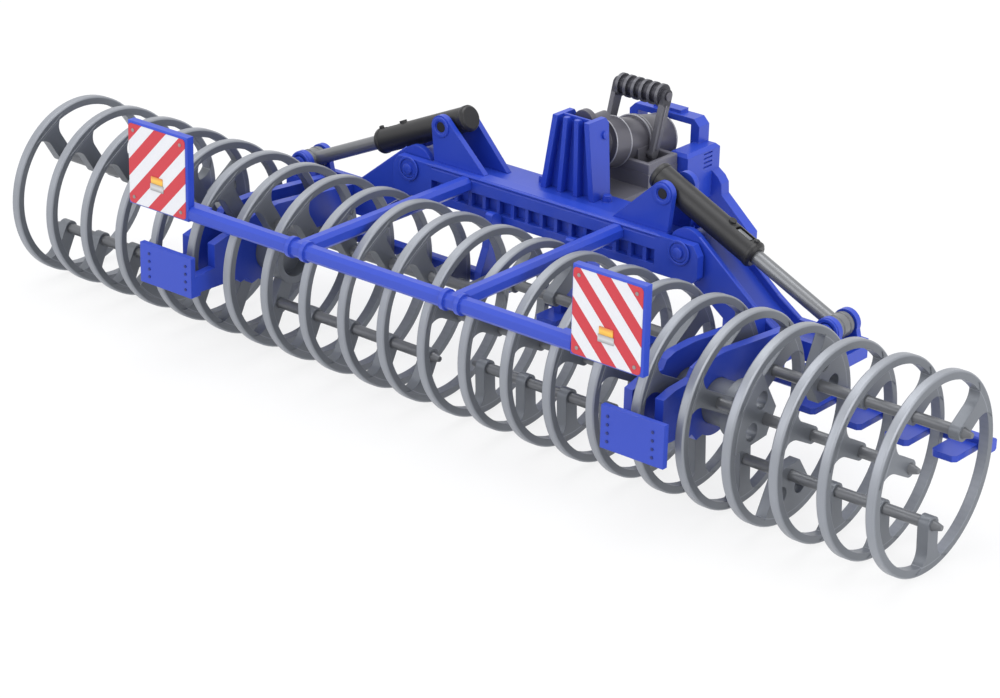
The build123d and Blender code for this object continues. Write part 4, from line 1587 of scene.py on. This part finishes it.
@dataclass
class Studio:
    """Floor, soft lamps and the camera at the photograph's angle.

    Attributes:
        axle_y: Place of the roller axle along Y.
        eye: Camera place measured from the axle's foot, in metres.
        yaw: Heading of the view in radians, from +Y.
        pitch: Rise of the view in radians.
        roll: Turn of the view about its own axis in radians.
        lens: Focal length in millimetres.
        sensor: Width of the sensor in millimetres.
        clip: Nearest and farthest distance that the camera sees, in metres.
        lamps: The soft lamps.
        floor_size: Edge of the floor in metres.
        floor_gap: Gap between the toy's foot and the floor in metres.
        floor_colour: Linear colour of the floor.
        floor_roughness: Its roughness.
        floor_glow: Share of plain white where the floor is seen.
        fill_colour: Linear colour of the world's light.
        fill: Strength of the world's light.
    """

    axle_y: float
    eye: Triple = (0.42453, -0.50867, 0.29852)
    yaw: float = -0.68322
    pitch: float = -0.40612
    roll: float = 0.02385
    lens: float = 116.364
    sensor: float = 36.0
    clip: Pair = (0.01, 20.0)
    lamps: tuple[SoftLamp, ...] = (
        SoftLamp("top_soft", (-0.15, 0.1, 0.9), 0.7, 4.0),
        SoftLamp("right_soft", (0.9, -0.1, 0.45), 0.6, 3.8),
        SoftLamp("front_soft", (-0.35, -0.9, 0.55), 0.7, 3.0),
    )
    floor_size: float = 12.0
    floor_gap: float = 0.05 * MM
    floor_colour: Colour = (0.86, 0.86, 0.86)
    floor_roughness: float = 0.9
    floor_glow: float = 0.82
    fill_colour: Colour = (0.93, 0.95, 1.0)
    fill: float = 0.88

    def camera(self) -> None:
        """Adds the camera and makes it the view."""
        flat = math.cos(self.pitch)
        ahead = Vector((math.sin(self.yaw) * flat, math.cos(self.yaw) * flat, math.sin(self.pitch)))
        right = ahead.cross(Axis.Z.vector).normalized()
        up = right.cross(ahead)
        turned = right * math.cos(self.roll) + up * math.sin(self.roll)
        lifted = up * math.cos(self.roll) - right * math.sin(self.roll)
        data = bpy.data.cameras.new("view")
        data.lens = self.lens
        data.sensor_width = self.sensor
        data.sensor_fit = "HORIZONTAL"
        data.clip_start, data.clip_end = self.clip
        camera = bpy.data.objects.new("view", data)
        bpy.context.scene.collection.objects.link(camera)
        spot = Vector(self.eye) + Axis.Y.vector * self.axle_y
        rows = Matrix((turned, lifted, -ahead)).transposed()
        camera.matrix_world = Matrix.Translation(spot) @ rows.to_4x4()
        bpy.context.scene.camera = camera

    def floor(self) -> None:
        """Adds the pale floor, which shows white and keeps a soft shadow."""
        clear_selection()
        bpy.ops.mesh.primitive_plane_add(size=self.floor_size, location=(0, 0, -self.floor_gap))
        floor = rename(bpy.context.object, "floor")
        finish = Finish("pale_floor")
        finish.shader.inputs["Base Color"].default_value = (*self.floor_colour, 1.0)
        finish.shader.inputs["Roughness"].default_value = self.floor_roughness
        glow = finish.add("ShaderNodeEmission", Color=(1.0, 1.0, 1.0, 1.0), Strength=1.0)
        mix = finish.add("ShaderNodeMixShader")
        finish.link(finish.math("MULTIPLY", finish.shown(), 0, self.floor_glow), 0, mix, 0)
        finish.link(finish.shader, "BSDF", mix, 1)
        finish.link(glow, "Emission", mix, 2)
        finish.link(mix, 0, finish.output, "Surface")
        floor.data.materials.append(finish.material)

    def world(self) -> None:
        """Sets a white surround for camera and gloss, and a mild fill for the rest."""
        world = bpy.data.worlds.new("surround")
        bpy.context.scene.world = world
        world.use_nodes = True
        tree = Tree(world.node_tree)
        white = tree.add("ShaderNodeBackground", Color=(1.0, 1.0, 1.0, 1.0), Strength=1.0)
        mild = tree.add("ShaderNodeBackground", Color=(*self.fill_colour, 1.0), Strength=self.fill)
        mix = tree.add("ShaderNodeMixShader")
        tree.link(tree.shown(), 0, mix, 0)
        tree.link(mild, 0, mix, 1)
        tree.link(white, 0, mix, 2)
        tree.link(mix, 0, tree.add("ShaderNodeOutputWorld"), "Surface")

    def build(self) -> None:
        """Sets up the view."""
        self.world()
        self.floor()
        for lamp in self.lamps:
            lamp.build()
        self.camera()
        bpy.context.scene.view_settings.view_transform = "Standard"


def main() -> None:
    """Builds every sub-assembly in order."""
    logging.basicConfig(level=logging.INFO, format="%(name)s %(message)s")
    low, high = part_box("right_rings")
    axle = ((low.y + high.y) / 2, (low.z + high.z) / 2)
    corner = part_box("handle")[1]
    grip = (corner.y - GRIP_RADIUS, corner.z - GRIP_RADIUS)
    finishes = Finishes(axle, (high.z - low.z) / 2, grip)
    for assembly in (
        RingRollers(finishes),
        BeamAndTower(finishes),
        WingSections(finishes),
        FoldCylinders(finishes),
        Coupling(finishes),
        WarningBoards(finishes),
        Studio(axle[0]),
    ):
        assembly.build()
        LOG.info("%s done", type(assembly).__name__)


if __name__ == "__main__":
    main()
